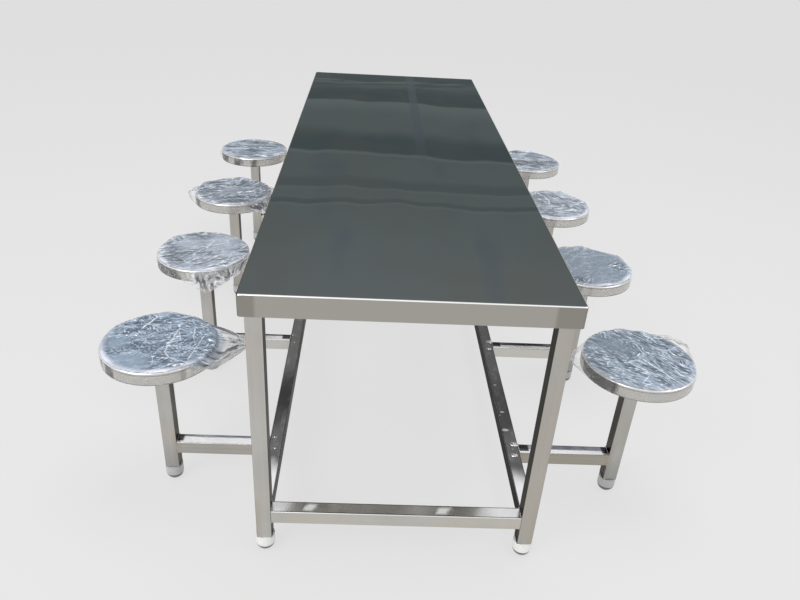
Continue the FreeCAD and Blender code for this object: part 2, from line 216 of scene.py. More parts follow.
# A crumpled film: flat facets, each with creases that run its own way, small chips and hair creases. Crease gives where
# painted highlights go, and Tone the painted pattern of darker and paler reflections
def buildCrumple():
    group, given, made = startGroup("crumple", [
        ("Vector", "NodeSocketVector", None),
        ("Facet Scale", "NodeSocketFloat", 20.0),
        ("Chip Scale", "NodeSocketFloat", 68.0),
        ("Crease Scale", "NodeSocketFloat", 190.0),
    ], [("Crease", "NodeSocketFloat"), ("Height", "NodeSocketFloat"), ("Tone", "NodeSocketFloat")])
    place = given["Vector"]
    bent = addNode(group, "ShaderNodeTexNoise", {"Vector": place, "Scale": 15.0, "Detail": 3.0, "Roughness": 0.55})
    moved = addNode(group, "ShaderNodeVectorMath", {0: bent.outputs["Color"], 1: (0.034, 0.034, 0.0), 2: place},
                    operation="MULTIPLY_ADD").outputs[0]
    long = stretched(group, moved, (0.5, 1.0, 1.0))
    facets = addNode(group, "ShaderNodeTexVoronoi", {"Vector": long, "Scale": given["Facet Scale"]})
    pick, shade, broken = apart(group, facets.outputs["Color"])
    edges = addNode(group, "ShaderNodeTexVoronoi", {"Vector": long, "Scale": given["Facet Scale"]},
                    feature="DISTANCE_TO_EDGE").outputs["Distance"]
    chips = addNode(group, "ShaderNodeTexVoronoi", {"Vector": long, "Scale": given["Chip Scale"]})
    chip = apart(group, chips.outputs["Color"])[0]
    streak = None
    for turn, share in ((0.0, 0.0), (0.9, 0.5), (-0.75, 0.76)):
        turned = addNode(group, "ShaderNodeVectorRotate", {"Vector": moved, "Angle": turn}, rotation_type="Z_AXIS")
        run = noiseOf(group, stretched(group, turned.outputs[0], (0.3, 1.0, 1.0)), given["Crease Scale"], 4.0, 0.62)
        streak = run if streak is None else addNode(
            group, "ShaderNodeMix", {0: step(group, pick, share - 0.03, share + 0.03), 2: streak, 3: run}).outputs[0]
    wide = noiseOf(group, stretched(group, moved, (0.4, 1.0, 1.0)), 52.0, 4.0, 0.68)
    tone = maths(group, "MULTIPLY_ADD", shade, 0.13, maths(group, "MULTIPLY_ADD", wide, 0.8, streak))
    tone = maths(group, "MULTIPLY_ADD", chip, 0.13, tone)
    socketOf(group, step(group, tone, 0.78, 1.32), made["Tone"])
    patch = step(group, noiseOf(group, place, 19.0, 3.0), 0.42, 0.6)
    streakGlint = product(group, step(group, streak, 0.55, 0.66), ranged(group, patch, 0.25, 1.0))
    line = product(group, step(group, edges, 0.026, 0.0), step(group, broken, 0.55, 0.8))
    hair = noiseOf(group, moved, 74.0, 2.0, 0.5)
    hair = step(group, maths(group, "ABSOLUTE", maths(group, "SUBTRACT", hair, 0.5)), 0.018, 0.0)
    hair = product(group, hair, step(group, wide, 0.48, 0.6), 0.7)
    socketOf(group, largest(group, streakGlint, hair, maths(group, "MULTIPLY", line, 0.6)), made["Crease"])
    height = maths(group, "MULTIPLY_ADD", wide, 0.9, maths(group, "MULTIPLY_ADD", shade, 0.2, streak))
    height = maths(group, "MULTIPLY_ADD", chip, 0.14, height)
    socketOf(group, maths(group, "MULTIPLY_ADD", step(group, edges, 0.1, 0.0), 0.12, height), made["Height"])
    return group


# A thin line between two points of a flat sheet
def buildFoldLine():
    group, given, made = startGroup("foldLine", [
        ("Vector", "NodeSocketVector", None),
        ("Start", "NodeSocketVector", None),
        ("Run", "NodeSocketVector", None),
        ("Width", "NodeSocketFloat", 0.002),
    ], [("Line", "NodeSocketFloat")])

    def vectors(operation, *values):
        return addNode(group, "ShaderNodeVectorMath", dict(enumerate(values)), operation=operation)

    reach = vectors("SUBTRACT", given["Vector"], given["Start"]).outputs[0]
    ahead = vectors("DOT_PRODUCT", reach, given["Run"]).outputs["Value"]
    whole = vectors("DOT_PRODUCT", given["Run"], given["Run"]).outputs["Value"]
    share = addNode(group, "ShaderNodeMath", {0: ahead, 1: whole}, operation="DIVIDE")
    share.use_clamp = True
    along = vectors("SCALE", given["Run"])
    socketOf(group, share.outputs[0], along.inputs["Scale"])
    aside = vectors("LENGTH", vectors("SUBTRACT", reach, along.outputs[0]).outputs[0]).outputs["Value"]
    socketOf(group, step(group, aside, given["Width"], 0.0), made["Line"])
    return group


grainGroup = buildGrain()
wearGroup = buildWear()
facingGroup = buildFacing()
crumpleGroup = buildCrumple()
foldLineGroup = buildFoldLine()
print("shader groups built")

# Colours of the square tube: its satin sides, the sides turned to the table's middle, painted dark for the shade they
# mirror, and its polished upper faces, painted as dull reflections where they are dull and as painted highlights where
# they shine
tubeLook = {
    "upright": {"satin": (0.558, 0.545, 0.512, 1.0), "inner": (0.064, 0.062, 0.056, 1.0), "dullReflection": (0.30, 0.30, 0.30, 1.0),
                "grain": (900.0, 900.0, 12.0), "edgeTint": (0.42, 0.42, 0.41, 1.0),
                "shaded": (0.10, 0.12, 0.11, 1.0), "shadedShare": 0.14, "paintedLowShade": (0.26, 0.268, 0.272, 1.0),
                "postInnerShade": ((0.215, 0.211, 0.200, 1.0), (0.140, 0.137, 0.128, 1.0))},
    "longRail": {"satin": (0.50, 0.494, 0.47, 1.0), "inner": (0.030, 0.031, 0.030, 1.0),
                 "dullReflection": (0.098, 0.100, 0.098, 1.0), "grain": (900.0, 12.0, 900.0), "edgeTint": (0.37, 0.37, 0.37, 1.0)},
    "endRail": {"satin": (0.60, 0.592, 0.55, 1.0), "inner": (0.30, 0.30, 0.29, 1.0),
                "dullReflection": (0.64, 0.645, 0.64, 1.0), "grain": (12.0, 900.0, 900.0), "bend": 0.8, "paintedGlint": 0.62},
    "arm": {"satin": (0.46, 0.446, 0.415, 1.0), "shaded": (0.277, 0.226, 0.115, 1.0), "shadedShare": 0.3,
            "inner": (0.3, 0.3, 0.3, 1.0), "dullReflection": (0.17, 0.185, 0.225, 1.0),
            "grain": (12.0, 900.0, 900.0), "paintedFarSheen": (0.70, 0.69, 0.655, 1.0), "paintedGlint": 0.3},
    "paintedShine": (0.96, 0.965, 0.985, 1.0),
    "heatTint": (0.46, 0.38, 0.28, 1.0),
    "roughness": (0.25, 0.36),
    "grainDepth": 0.1,
}


def tubeFinish(kind, upperFaces):
    look = tubeLook[kind]
    material, tree, surface, where = newMaterial(kind + "Tube")
    place = where["Object"]
    x, y, z = apart(tree, place)
    grain = useGroup(tree, grainGroup, {"Vector": place, "Stretch": look["grain"]})
    wear = useGroup(tree, wearGroup, {"Vector": place})
    facing = useGroup(tree, facingGroup, {"Normal": where["Normal"], "Vector": place})
    worn = tuple(0.86 * part for part in look["satin"][:3]) + (1.0,)
    colour = blendColour(tree, wear["Cloud"], look["satin"], worn)
    streaks = step(tree, grain["Streak"], 0.35, 0.7)
    colour = blendColour(tree, maths(tree, "MULTIPLY", streaks, 0.16), colour, (0.72, 0.72, 0.71, 1.0))
    colour = blendColour(tree, maths(tree, "MULTIPLY", weldTint(tree, x, y, z), 0.4), colour, tubeLook["heatTint"])
    patches = noiseOf(tree, place, 5.2, 2.0)
    warm = tuple(part * share for part, share in zip(look["satin"][:3], (1.07, 1.0, 0.93))) + (1.0,)
    colour = blendColour(tree, maths(tree, "MULTIPLY", step(tree, patches, 0.45, 0.65), 0.55), colour, warm)
    # painted shade: the tubes on the right are painted darker, and the arms there darker and yellower
    if "shaded" in look:      # what stands on the right is a little darker
        colour = blendColour(tree, maths(tree, "MULTIPLY", step(tree, x, 0.0, 0.1), look["shadedShare"]), colour, look["shaded"])
    # painted shade: the posts are painted greyer than the legs, and darker still towards their feet
    if "paintedLowShade" in look:      # the posts are greyer than the legs, and darker towards their feet
        low = maths(tree, "MULTIPLY_ADD", step(tree, z, 0.15, 0.05), 0.38, 0.08)
        low = product(tree, step(tree, maths(tree, "ABSOLUTE", x), 0.45, 0.5), low)
        colour = blendColour(tree, low, colour, look["paintedLowShade"])
    # painted sheen: the arms behind the front pair are painted lighter
    if "paintedFarSheen" in look:
        colour = blendColour(tree, maths(tree, "MULTIPLY", step(tree, y, -0.6, -0.4), 0.8), colour, look["paintedFarSheen"])
    # painted shade: the sides turned to the table's middle are painted dark for the shaded floor they mirror, striped
    # by the grain, and lighter on the posts on the left
    mirrored = blendColour(tree, maths(tree, "MULTIPLY", streaks, 0.1), look["inner"], (0.34, 0.34, 0.34, 1.0))
    if "postInnerShade" in look:
        inner = blendColour(tree, step(tree, x, 0.0, 0.1), *look["postInnerShade"])
        inner = blendColour(tree, maths(tree, "MULTIPLY", step(tree, patches, 0.4, 0.6), 0.4), inner, look["inner"])
        mirrored = blendColour(tree, step(tree, maths(tree, "ABSOLUTE", x), 0.45, 0.5), mirrored, inner)
    colour = blendColour(tree, facing["Inward"], colour, mirrored)
    # painted reflections on the upper faces: a dull reflection, painted highlights, and painted dark where they mirror
    # dark parts
    paintedShine, paintedDark = upperFaces(tree, x, y)
    upper = blendColour(tree, paintedShine, look["dullReflection"], tubeLook["paintedShine"])
    upper = blendColour(tree, paintedDark, upper, (0.02, 0.02, 0.022, 1.0))
    colour = blendColour(tree, facing["Up"], colour, upper)
    # painted highlight along the rounded corner between an upper face and the sides
    up = apart(tree, where["Normal"])[2]
    bend = product(tree, step(tree, up, 0.25, 0.5), step(tree, up, 0.97, 0.85), look.get("bend", 0.0))
    colour = blendColour(tree, bend, colour, tubeLook["paintedShine"])
    colour = blendColour(tree, maths(tree, "MULTIPLY", wear["Scratch"], 0.25), colour, (0.85, 0.85, 0.85, 1.0))
    socketOf(tree, colour, surface.inputs["Base Color"])
    rough = ranged(tree, wear["Cloud"], *tubeLook["roughness"])
    rough = maths(tree, "SUBTRACT", rough, maths(tree, "MULTIPLY", facing["Up"], 0.12))
    socketOf(tree, rough, surface.inputs["Roughness"])
    # painted highlight: where a glint is painted on an upper face, the metal is made partly non-metallic so its painted
    # brightness shows
    if "paintedGlint" in look:      # a glint shows its own brightness, not only what it mirrors
        socketOf(tree, rest(tree, product(tree, facing["Up"], paintedShine, look["paintedGlint"])), surface.inputs["Metallic"])
    else:
        surface.inputs["Metallic"].default_value = 1.0
    surface.inputs["Specular Tint"].default_value = look.get("edgeTint", (0.75, 0.75, 0.75, 1.0))
    bumpOf(tree, surface, grain["Line"], tubeLook["grainDepth"], 0.0004)
    return material


# Heat tint close to the welds, on the seams between tubes
def weldTint(tree, x, y, z):
    sideways = maths(tree, "ABSOLUTE", x)
    seams = []
    for value, seam in ((sideways, postSide), (sideways, railSide), (maths(tree, "ABSOLUTE", y), layout["legAlong"] - half)):
        seams.append(step(tree, maths(tree, "ABSOLUTE", maths(tree, "SUBTRACT", value, seam)), 0.018, 0.004))
    return product(tree, largest(tree, *seams), step(tree, z, 0.2, 0.15))


# Small painted glints on the right-hand rail: place across and along, and half-width
railGlints = ((0.323, -0.489, 0.0035), (0.325, -0.627, 0.0045), (0.322, -0.711, 0.0075))


# Each of these gives where an upper face gets a painted highlight, and where it gets a painted dark reflection, nearly
# black
def longRailUpper(tree, x, y):
    wave = noiseOf(tree, joined(tree, maths(tree, "MULTIPLY", x, 3.0), y), 7.0, 3.0, 0.65)
    ends = maths(tree, "MULTIPLY_ADD", wave, 0.09, maths(tree, "ABSOLUTE", y))
    shine = step(tree, maths(tree, "SUBTRACT", ends, maths(tree, "MULTIPLY", step(tree, x, -0.1, 0.1), 0.02)), 0.870, 0.985)
    haze = maths(tree, "MULTIPLY", between(tree, ends, 0.76, 0.9, 0.03), 0.08)
    leftSide = step(tree, x, 0.1, -0.1)
    middle = product(tree, step(tree, ends, 0.62, 0.4), ranged(tree, leftSide, 0.09, 0.15))
    darkBand = between(tree, maths(tree, "MULTIPLY_ADD", wave, 0.09, y), -0.60, -0.42, 0.03)
    sheenMottle = noiseOf(tree, joined(tree, maths(tree, "MULTIPLY", x, 2.2), y), 24.0, 3.0, 0.6)
    mottle = largest(tree, maths(tree, "MULTIPLY", step(tree, wave, 0.5, 0.75), 0.16), maths(tree, "MULTIPLY", step(tree, sheenMottle, 0.52, 0.74), 0.10))
    glintFlecks = step(tree, noiseOf(tree, joined(tree, x, maths(tree, "MULTIPLY", y, 1.6)), 62.0, 1.0), 0.72, 0.76)
    for across, along, wide in railGlints:
        away = joined(tree, maths(tree, "SUBTRACT", x, across), maths(tree, "SUBTRACT", y, along))
        away = addNode(tree, "ShaderNodeVectorMath", {0: stretched(tree, away, (0.55, 1.0, 1.0))}, operation="LENGTH").outputs["Value"]
        glintFlecks = largest(tree, glintFlecks, step(tree, away, wide, wide * 0.4))
    edge = maths(tree, "ABSOLUTE", maths(tree, "SUBTRACT", maths(tree, "ABSOLUTE", x), layout["legAcross"]))
    # painted reflection: the rail tops shine towards both ends, with painted haze, mottle and glints; the left rail
    # gets a painted dark band, and both rails painted dark lines along their long edges
    paintedShine = largest(tree, shine, maths(tree, "ADD", maths(tree, "ADD", haze, middle), mottle),
                     maths(tree, "MULTIPLY", glintFlecks, 0.6))
    edge = maths(tree, "MULTIPLY", step(tree, edge, half - 0.0045, half - 0.002), 0.9)
    return paintedShine, largest(tree, edge, product(tree, darkBand, leftSide, 0.4))


# Where the cross rails get painted highlights: from and to along the rail, strength, softness, and how far from the
# rail's edges
endRailPaintedShine = ((-0.320, -0.262, 0.72, 0.020, 0.0), (-0.222, -0.196, 0.95, 0.008, 0.010), (0.106, 0.136, 0.95, 0.008, 0.010), (0.206, 0.320, 0.50, 0.016, 0.0))


def endRailUpper(tree, x, y):
    wide = noiseOf(tree, joined(tree, x, maths(tree, "MULTIPLY", y, 0.4)), 9.0, 3.0, 0.6)
    slant = maths(tree, "MULTIPLY_ADD", maths(tree, "ABSOLUTE", y), 0.5, maths(tree, "ADD", x, -0.5 * layout["legAlong"]))
    slant = maths(tree, "MULTIPLY_ADD", noiseOf(tree, joined(tree, x, y), 60.0, 2.0), 0.012, slant)
    edge = maths(tree, "ABSOLUTE", maths(tree, "SUBTRACT", maths(tree, "ABSOLUTE", y), layout["legAlong"]))
    # painted reflection: mottled painted highlights, the listed shining spots, and painted dark lines along the long
    # edges
    paintedShine = [maths(tree, "MULTIPLY", step(tree, wide, 0.35, 0.75), 0.28)]
    for low, high, strength, soft, inset in endRailPaintedShine:
        spot = maths(tree, "MULTIPLY", between(tree, slant, low, high, soft), strength)
        paintedShine.append(product(tree, spot, step(tree, edge, half - 0.1 * inset, half - 1.4 * inset)) if inset else spot)
    return largest(tree, *paintedShine), maths(tree, "MULTIPLY", step(tree, edge, half - 0.0055, half - 0.003), 0.8)


# Painted highlight on the half of an arm towards the front, and painted dark reflections close to its two joints, along
# its back edge, and on the back part of the arms further back
def armUpper(tree, x, y):
    local = maths(tree, "WRAP", maths(tree, "SUBTRACT", y, layout["stoolAlong"][0]),
                  layout["stoolPitch"] / 2, -layout["stoolPitch"] / 2)
    ripple = noiseOf(tree, joined(tree, x, y), 9.0, 2.0)
    edge = maths(tree, "MULTIPLY_ADD", ripple, 0.014, local)
    edge = maths(tree, "SUBTRACT", edge, product(tree, step(tree, x, -0.3, -0.35), 0.009))
    paintedShine = largest(tree, step(tree, edge, 0.009, 0.003), maths(tree, "MULTIPLY", step(tree, ripple, 0.4, 0.7), 0.4))
    side = maths(tree, "ABSOLUTE", x)
    joint = largest(tree, step(tree, side, postSide - 0.02, postSide - 0.013), step(tree, side, railSide + 0.03, railSide + 0.025))
    paintedDark = largest(tree, product(tree, joint, step(tree, local, -0.012, -0.009)), maths(tree, "MULTIPLY", step(tree, local, 0.014, 0.0175), 0.7))
    paintedDark = largest(tree, paintedDark, product(tree, step(tree, y, -0.6, -0.5), step(tree, edge, 0.004, 0.008), 0.55))
    return paintedShine, maths(tree, "MULTIPLY", paintedDark, 0.95)


# painted highlight spots on the upper ends of the legs and posts
def uprightUpper(tree, x, y):
    return step(tree, noiseOf(tree, joined(tree, x, y), 40.0), 0.4, 0.7), 0.0


topLook = {
    "slate": (0.198, 0.223, 0.225, 1.0),
    "slateWarm": (0.196, 0.215, 0.209, 1.0),
    "slateBlue": (0.170, 0.196, 0.226, 1.0),
    "reflectedDark": (0.070, 0.091, 0.098, 1.0),
    "reflectedBrown": (0.108, 0.112, 0.110, 1.0),
    "ripple": (0.076, 0.084, 0.112, 1.0),
    "edgeTint": (0.43, 0.465, 0.47, 1.0),    # the metal's own colour at a grazing angle
    "apron": (0.425, 0.408, 0.372, 1.0),
    "apronEnd": (0.275, 0.259, 0.232, 1.0),
    # painted dark reflection bands across the top: middle along the table, half its width, how dark it is painted, and
    # how far the painted light before it reaches
    "reflectionBands": ((1.03, 0.09, 0.95, 0.01), (0.69, 0.13, 0.86, 0.2), (0.0, 0.10, 0.6, 0.02), (-0.385, 0.035, 0.28, 0.01), (-0.53, 0.014, 0.35, 0.01)),
    "roughness": (0.12, 0.20),
}


# The polished top, dark, with painted reflections: wavy dark bands with painted light before them, dark ripples and a
# bluish stripe. Its bumps make it a little wavy where the sheet lies unevenly on its board
def topFinish():
    material, tree, surface, where = newMaterial("polishedTop")
    place = where["Object"]
    x, y, z = apart(tree, place)
    nx, ny, nz = apart(tree, where["Normal"])
    flat = step(tree, nz, 0.985, 0.9985)
    cloud = noiseOf(tree, stretched(tree, place, (1.6, 0.9, 1.0)), 2.6, 3.0, 0.5)
    colour = blendColour(tree, step(tree, cloud, 0.4, 0.62), topLook["slate"], topLook["slateWarm"])
    blue = noiseOf(tree, stretched(tree, place, (2.6, 0.7, 1.0)), 3.1, 2.0, 0.5)
    colour = blendColour(tree, maths(tree, "MULTIPLY", step(tree, blue, 0.54, 0.7), 0.7), colour, topLook["slateBlue"])
    sway = noiseOf(tree, stretched(tree, place, (1.0, 0.25, 1.0)), 3.4, 2.0, 0.5)
    wavy = maths(tree, "MULTIPLY_ADD", maths(tree, "SUBTRACT", sway, 0.5), 0.22, y)
    bands, bandLights = [], []
    for middle, width, strength, glow in topLook["reflectionBands"]:
        soft = 0.006 + 0.08 * width
        near = step(tree, wavy, middle - width - soft, middle - width)
        bands.append(product(tree, near, step(tree, wavy, middle + width * 1.7, middle + width * 0.2), strength))
        light = product(tree, step(tree, wavy, middle - width - 2 * soft - glow, middle - width - 2 * soft),
                        step(tree, wavy, middle - width - 0.6 * soft, middle - width - 1.6 * soft))
        bandLights.append(maths(tree, "MULTIPLY", light, strength))
    paintedDark = blendColour(tree, step(tree, cloud, 0.46, 0.58), topLook["reflectedDark"], topLook["reflectedBrown"])
    colour = blendColour(tree, largest(tree, *bands), colour, paintedDark)
    colour = blendColour(tree, maths(tree, "MULTIPLY", largest(tree, *bandLights), 0.55), colour, (0.30, 0.335, 0.33, 1.0))
    rippleReflections = noiseOf(tree, stretched(tree, place, (0.9, 3.4, 1.0)), 6.5, 3.0, 0.55, 0.4)
    rippleReflections = product(tree, step(tree, rippleReflections, 0.48, 0.60), step(tree, wavy, 0.60, 0.85))
    colour = blendColour(tree, maths(tree, "MULTIPLY", rippleReflections, 0.75), colour, topLook["ripple"])
    # painted reflection of a pole: a bluish stripe
    poleReflection = product(tree, between(tree, x, 0.052, 0.084, 0.004), step(tree, y, -0.25, 0.2))
    colour = blendColour(tree, maths(tree, "MULTIPLY", poleReflection, 0.7), colour, (0.172, 0.197, 0.226, 1.0))
    apron = useGroup(tree, wearGroup, {"Vector": place})
    atEnd = largest(tree, step(tree, x, -0.318, -0.328), step(tree, x, 0.292, 0.302))
    colour = blendColour(tree, flat, blendColour(tree, maths(tree, "MULTIPLY", atEnd, 0.75),
                                                 topLook["apron"], topLook["apronEnd"]), colour)
    # painted highlight on the bend between top and apron at the two short ends, a weaker one along the right side, and
    # painted dark along the left side
    bend = product(tree, step(tree, nz, 0.30, 0.5), step(tree, nz, 0.9985, 0.985))
    colour = blendColour(tree, product(tree, bend, step(tree, maths(tree, "ABSOLUTE", ny), 0.2, 0.4)), colour, (0.97, 0.97, 0.96, 1.0))
    colour = blendColour(tree, product(tree, bend, step(tree, nx, 0.2, 0.4)), colour, (0.85, 0.85, 0.84, 1.0))
    colour = blendColour(tree, product(tree, bend, step(tree, nx, -0.2, -0.4)), colour, (0.07, 0.07, 0.07, 1.0))
    socketOf(tree, colour, surface.inputs["Base Color"])
    surface.inputs["Metallic"].default_value = 1.0
    surface.inputs["Specular Tint"].default_value = topLook["edgeTint"]
    rough = maths(tree, "MULTIPLY_ADD", rest(tree, flat), 0.14, ranged(tree, apron["Cloud"], *topLook["roughness"]))
    socketOf(tree, rough, surface.inputs["Roughness"])
    grain = useGroup(tree, grainGroup, {"Vector": place, "Stretch": (700.0, 700.0, 40.0)})
    swell = noiseOf(tree, stretched(tree, place, (1.2, 1.0, 1.0)), 4.2, 1.0, 0.4)
    bumpOf(tree, surface, maths(tree, "MULTIPLY_ADD", grain["Line"], 0.012, product(tree, swell, flat)), 0.35, 0.004)
    return material


panLook = {
    "top": (0.36, 0.40, 0.44, 1.0),
    "rim": (0.59, 0.575, 0.54, 1.0),
    "rimDarkReflection": (0.115, 0.115, 0.112, 1.0),
    "bend": (0.99, 0.99, 1.0, 1.0),
}


# A pressed pan: painted highlight where it bends, a bluish top as a painted reflection of the sky, satin with painted
# dark reflections round its rim, and painted dark lines along its lower edge and under the bend
def panFinish():
    material, tree, surface, where = newMaterial("pressedPan")
    place = where["Object"]
    x, y, z = apart(tree, place)
    nx, ny, nz = apart(tree, where["Normal"])
    wear = useGroup(tree, wearGroup, {"Vector": place, "Cloud Scale": 16.0})
    # painted dark reflections round the rim, more on faces turned to the left and on the rear seats on the left
    around = noiseOf(tree, stretched(tree, place, (1.0, 1.0, 0.3)), 15.0, 3.0, 0.6)
    around = maths(tree, "MULTIPLY_ADD", nx, -0.19, around)
    rearLeft = product(tree, step(tree, x, 0.0, -0.1), step(tree, y, -0.6, -0.4))
    around = maths(tree, "MULTIPLY_ADD", rearLeft, 0.08, around)
    rim = blendColour(tree, step(tree, around, 0.60, 0.70), panLook["rim"], panLook["rimDarkReflection"])
    shadeLines = largest(tree, step(tree, z, layout["seatBottom"] + 0.004, layout["seatBottom"] + 0.0015),
                  between(tree, z, 0.4415, 0.4435, 0.0006))
    rim = blendColour(tree, maths(tree, "MULTIPLY", shadeLines, 0.6), rim, panLook["rimDarkReflection"])
    flat = step(tree, nz, 0.9, 0.995)
    bend = product(tree, step(tree, nz, 0.18, 0.34), rest(tree, flat))
    colour = blendColour(tree, flat, rim, panLook["top"])
    colour = blendColour(tree, bend, colour, panLook["bend"])
    socketOf(tree, colour, surface.inputs["Base Color"])
    surface.inputs["Metallic"].default_value = 1.0
    socketOf(tree, ranged(tree, wear["Cloud"], 0.18, 0.3), surface.inputs["Roughness"])
    grain = useGroup(tree, grainGroup, {"Vector": place, "Stretch": (60.0, 60.0, 900.0)})
    bumpOf(tree, surface, grain["Line"], 0.1, 0.0004)
    return material


# Mill plate with a little scale, and weld metal, which is brighter
def plateFinish(name, steel, scale, roughness):
    material, tree, surface, where = newMaterial(name)
    wear = useGroup(tree, wearGroup, {"Vector": where["Object"], "Cloud Scale": 40.0})
    socketOf(tree, blendColour(tree, wear["Cloud"], steel, scale), surface.inputs["Base Color"])
    surface.inputs["Metallic"].default_value = 1.0
    socketOf(tree, ranged(tree, wear["Cloud"], *roughness), surface.inputs["Roughness"])
    bumpOf(tree, surface, noiseOf(tree, where["Object"], 900.0, 2.0), 0.15, 0.0003)
    return material


filmLook = {
    # deep and pale blue greys: partly the film's own haze, partly a painted reflection of the sky in the steel beneath
    "deep": (0.073, 0.110, 0.156, 1.0),
    "pale": (0.341, 0.442, 0.562, 1.0),
    "deepGrey": (0.090, 0.110, 0.138, 1.0),    # the same two on a film that looks greyer
    "paleGrey": (0.384, 0.438, 0.510, 1.0),
    "brim": (0.78, 0.80, 0.90, 1.0),
    "loose": (0.68, 0.685, 0.695, 1.0),
    "looseShade": (0.13, 0.137, 0.15, 1.0),
    "crease": (0.90, 0.93, 1.0, 1.0),
    "creaseAlpha": 0.94,
    "topAlpha": 0.66,
    "hangingAlpha": 0.05,
    # long creases seen on the two front seats, drawn as painted highlight lines: start across and along, end,
    # half-width and strength
    "longCreases": (
        (-0.580, -0.726, -0.590, -0.841, 0.003, 0.8), (-0.580, -0.737, -0.562, -0.789, 0.0029, 0.6),
        (-0.509, -0.762, -0.526, -0.871, 0.003, 0.7), (-0.590, -0.841, -0.574, -0.864, 0.0029, 0.8),
        (-0.652, -0.676, -0.675, -0.735, 0.004, 1), (-0.653, -0.804, -0.626, -0.803, 0.0023, 0.8),
        (-0.588, -0.864, -0.528, -0.882, 0.0026, 0.7), (-0.528, -0.782, -0.542, -0.843, 0.0024, 0.5),
        (0.618, -0.685, 0.637, -0.766, 0.0027, 0.6), (0.627, -0.798, 0.684, -0.898, 0.0033, 0.9),
        (0.651, -0.805, 0.663, -0.851, 0.0026, 0.6), (0.571, -0.817, 0.614, -0.802, 0.0033, 0.9),
        (0.614, -0.802, 0.630, -0.823, 0.003, 0.8), (0.612, -0.843, 0.664, -0.884, 0.003, 0.8),
        (0.680, -0.681, 0.689, -0.719, 0.0033, 0.8), (0.593, -0.903, 0.617, -0.874, 0.0029, 0.9),
        (0.692, -0.843, 0.706, -0.869, 0.0029, 0.7),
        (-0.700, -0.262, -0.560, -0.190, 0.0032, 0.6), (-0.660, -0.330, -0.540, -0.270, 0.0029, 0.5),
        (-0.640, 0.220, -0.520, 0.330, 0.0032, 0.6), (-0.690, 0.300, -0.640, 0.390, 0.0036, 0.6),
    ),
}


# Clear crumpled film. Its UV map lies flat on the sheet, in metres, turned along the stool's folds.
def filmFinish():
    material, tree, surface, where = newMaterial("crumpledFilm")
    crumple = useGroup(tree, crumpleGroup, {"Vector": where["UV"]})
    hanging, loose, brim, calm, still, pale, stark, grey = (
        addNode(tree, "ShaderNodeAttribute", attribute_name=label).outputs["Fac"]
        for label in ("hanging", "loose", "brim", "calm", "still", "pale", "stark", "grey"))
    brim = product(tree, brim, rest(tree, hanging))
    place = where["Object"]
    shaken = addNode(tree, "ShaderNodeTexNoise", {"Vector": place, "Scale": 60.0, "Detail": 3.0}).outputs["Color"]
    level = addNode(tree, "ShaderNodeVectorMath", {0: shaken, 1: (0.006, 0.006, 0.0), 2: stretched(tree, place, (1.0, 1.0, 0.0))},
                    operation="MULTIPLY_ADD").outputs[0]
    level = addNode(tree, "ShaderNodeVectorMath", {0: level, 1: (0.003, 0.003, 0.0)}, operation="SUBTRACT").outputs[0]
    lines = []
    for x0, y0, x1, y1, width, strength in filmLook["longCreases"]:
        line = useGroup(tree, foldLineGroup, {"Vector": level, "Start": (x0, y0, 0.0), "Run": (x1 - x0, y1 - y0, 0.0),
                                              "Width": width})["Line"]
        lines.append(maths(tree, "MULTIPLY", line, strength))
    uneven = step(tree, noiseOf(tree, place, 150.0, 2.0), 0.30, 0.62)
    folds = product(tree, largest(tree, *lines), ranged(tree, uneven, 0.3, 0.9))
    faint = product(tree, ranged(tree, calm, 1.0, 0.3), maths(tree, "MULTIPLY_ADD", stark, 0.3, 0.7))
    # painted highlight along the creases and the long fold lines
    crease = largest(tree, product(tree, crumple["Crease"], faint), folds)
    crease = maths(tree, "MINIMUM", crease, 1.0)
    tone = addNode(tree, "ShaderNodeMix", {0: calm, 2: crumple["Tone"], 3: still}).outputs[0]
    tone = maths(tree, "MULTIPLY_ADD", maths(tree, "SUBTRACT", tone, 0.5), stark, maths(tree, "ADD", pale, 0.5))
    # the film's blue greys, deep to pale by the crumple's Tone: partly its haze, partly painted reflection
    colour = blendColour(tree, grey, blendColour(tree, tone, filmLook["deep"], filmLook["pale"]),
                         blendColour(tree, tone, filmLook["deepGrey"], filmLook["paleGrey"]))
    # painted highlight where the film bends over the rim
    colour = blendColour(tree, maths(tree, "MULTIPLY", brim, 0.85), colour, filmLook["brim"])
    # painted shade in the folds of the hanging film
    shade = product(tree, step(tree, crumple["Tone"], 0.50, 0.24), ranged(tree, step(tree, loose, 0.7, 1.0), 0.4, 1.0))
    outer = blendColour(tree, shade, filmLook["loose"], filmLook["looseShade"])
    colour = blendColour(tree, hanging, colour, outer)
    colour = blendColour(tree, crease, colour, filmLook["crease"])
    socketOf(tree, colour, surface.inputs["Base Color"])
    bare = ranged(tree, hanging, filmLook["topAlpha"], filmLook["hangingAlpha"])
    bare = maths(tree, "MULTIPLY_ADD", brim, 0.2, bare)
    bare = maths(tree, "MULTIPLY_ADD", loose, ranged(tree, shade, 0.32, 0.62), bare)
    shown = product(tree, crease, maths(tree, "SUBTRACT", 1.0, product(tree, hanging, ranged(tree, loose, 0.85, 0.15))))
    alpha = addNode(tree, "ShaderNodeMapRange", {"Value": shown, "To Min": bare, "To Max": filmLook["creaseAlpha"]})
    socketOf(tree, alpha.outputs[0], surface.inputs["Alpha"])
    surface.inputs["Roughness"].default_value = 0.14
    surface.inputs["Specular IOR Level"].default_value = 0.7
    height = maths(tree, "MULTIPLY_ADD", folds, 0.25, maths(tree, "MULTIPLY", crumple["Height"], faint))
    bumpOf(tree, surface, height, 0.8, 0.0035)
    return material


footLook = {"dusty": (0.46, 0.46, 0.45, 1.0), "ring": (0.115, 0.115, 0.118, 1.0), "zinc": (0.62, 0.62, 0.60, 1.0)}


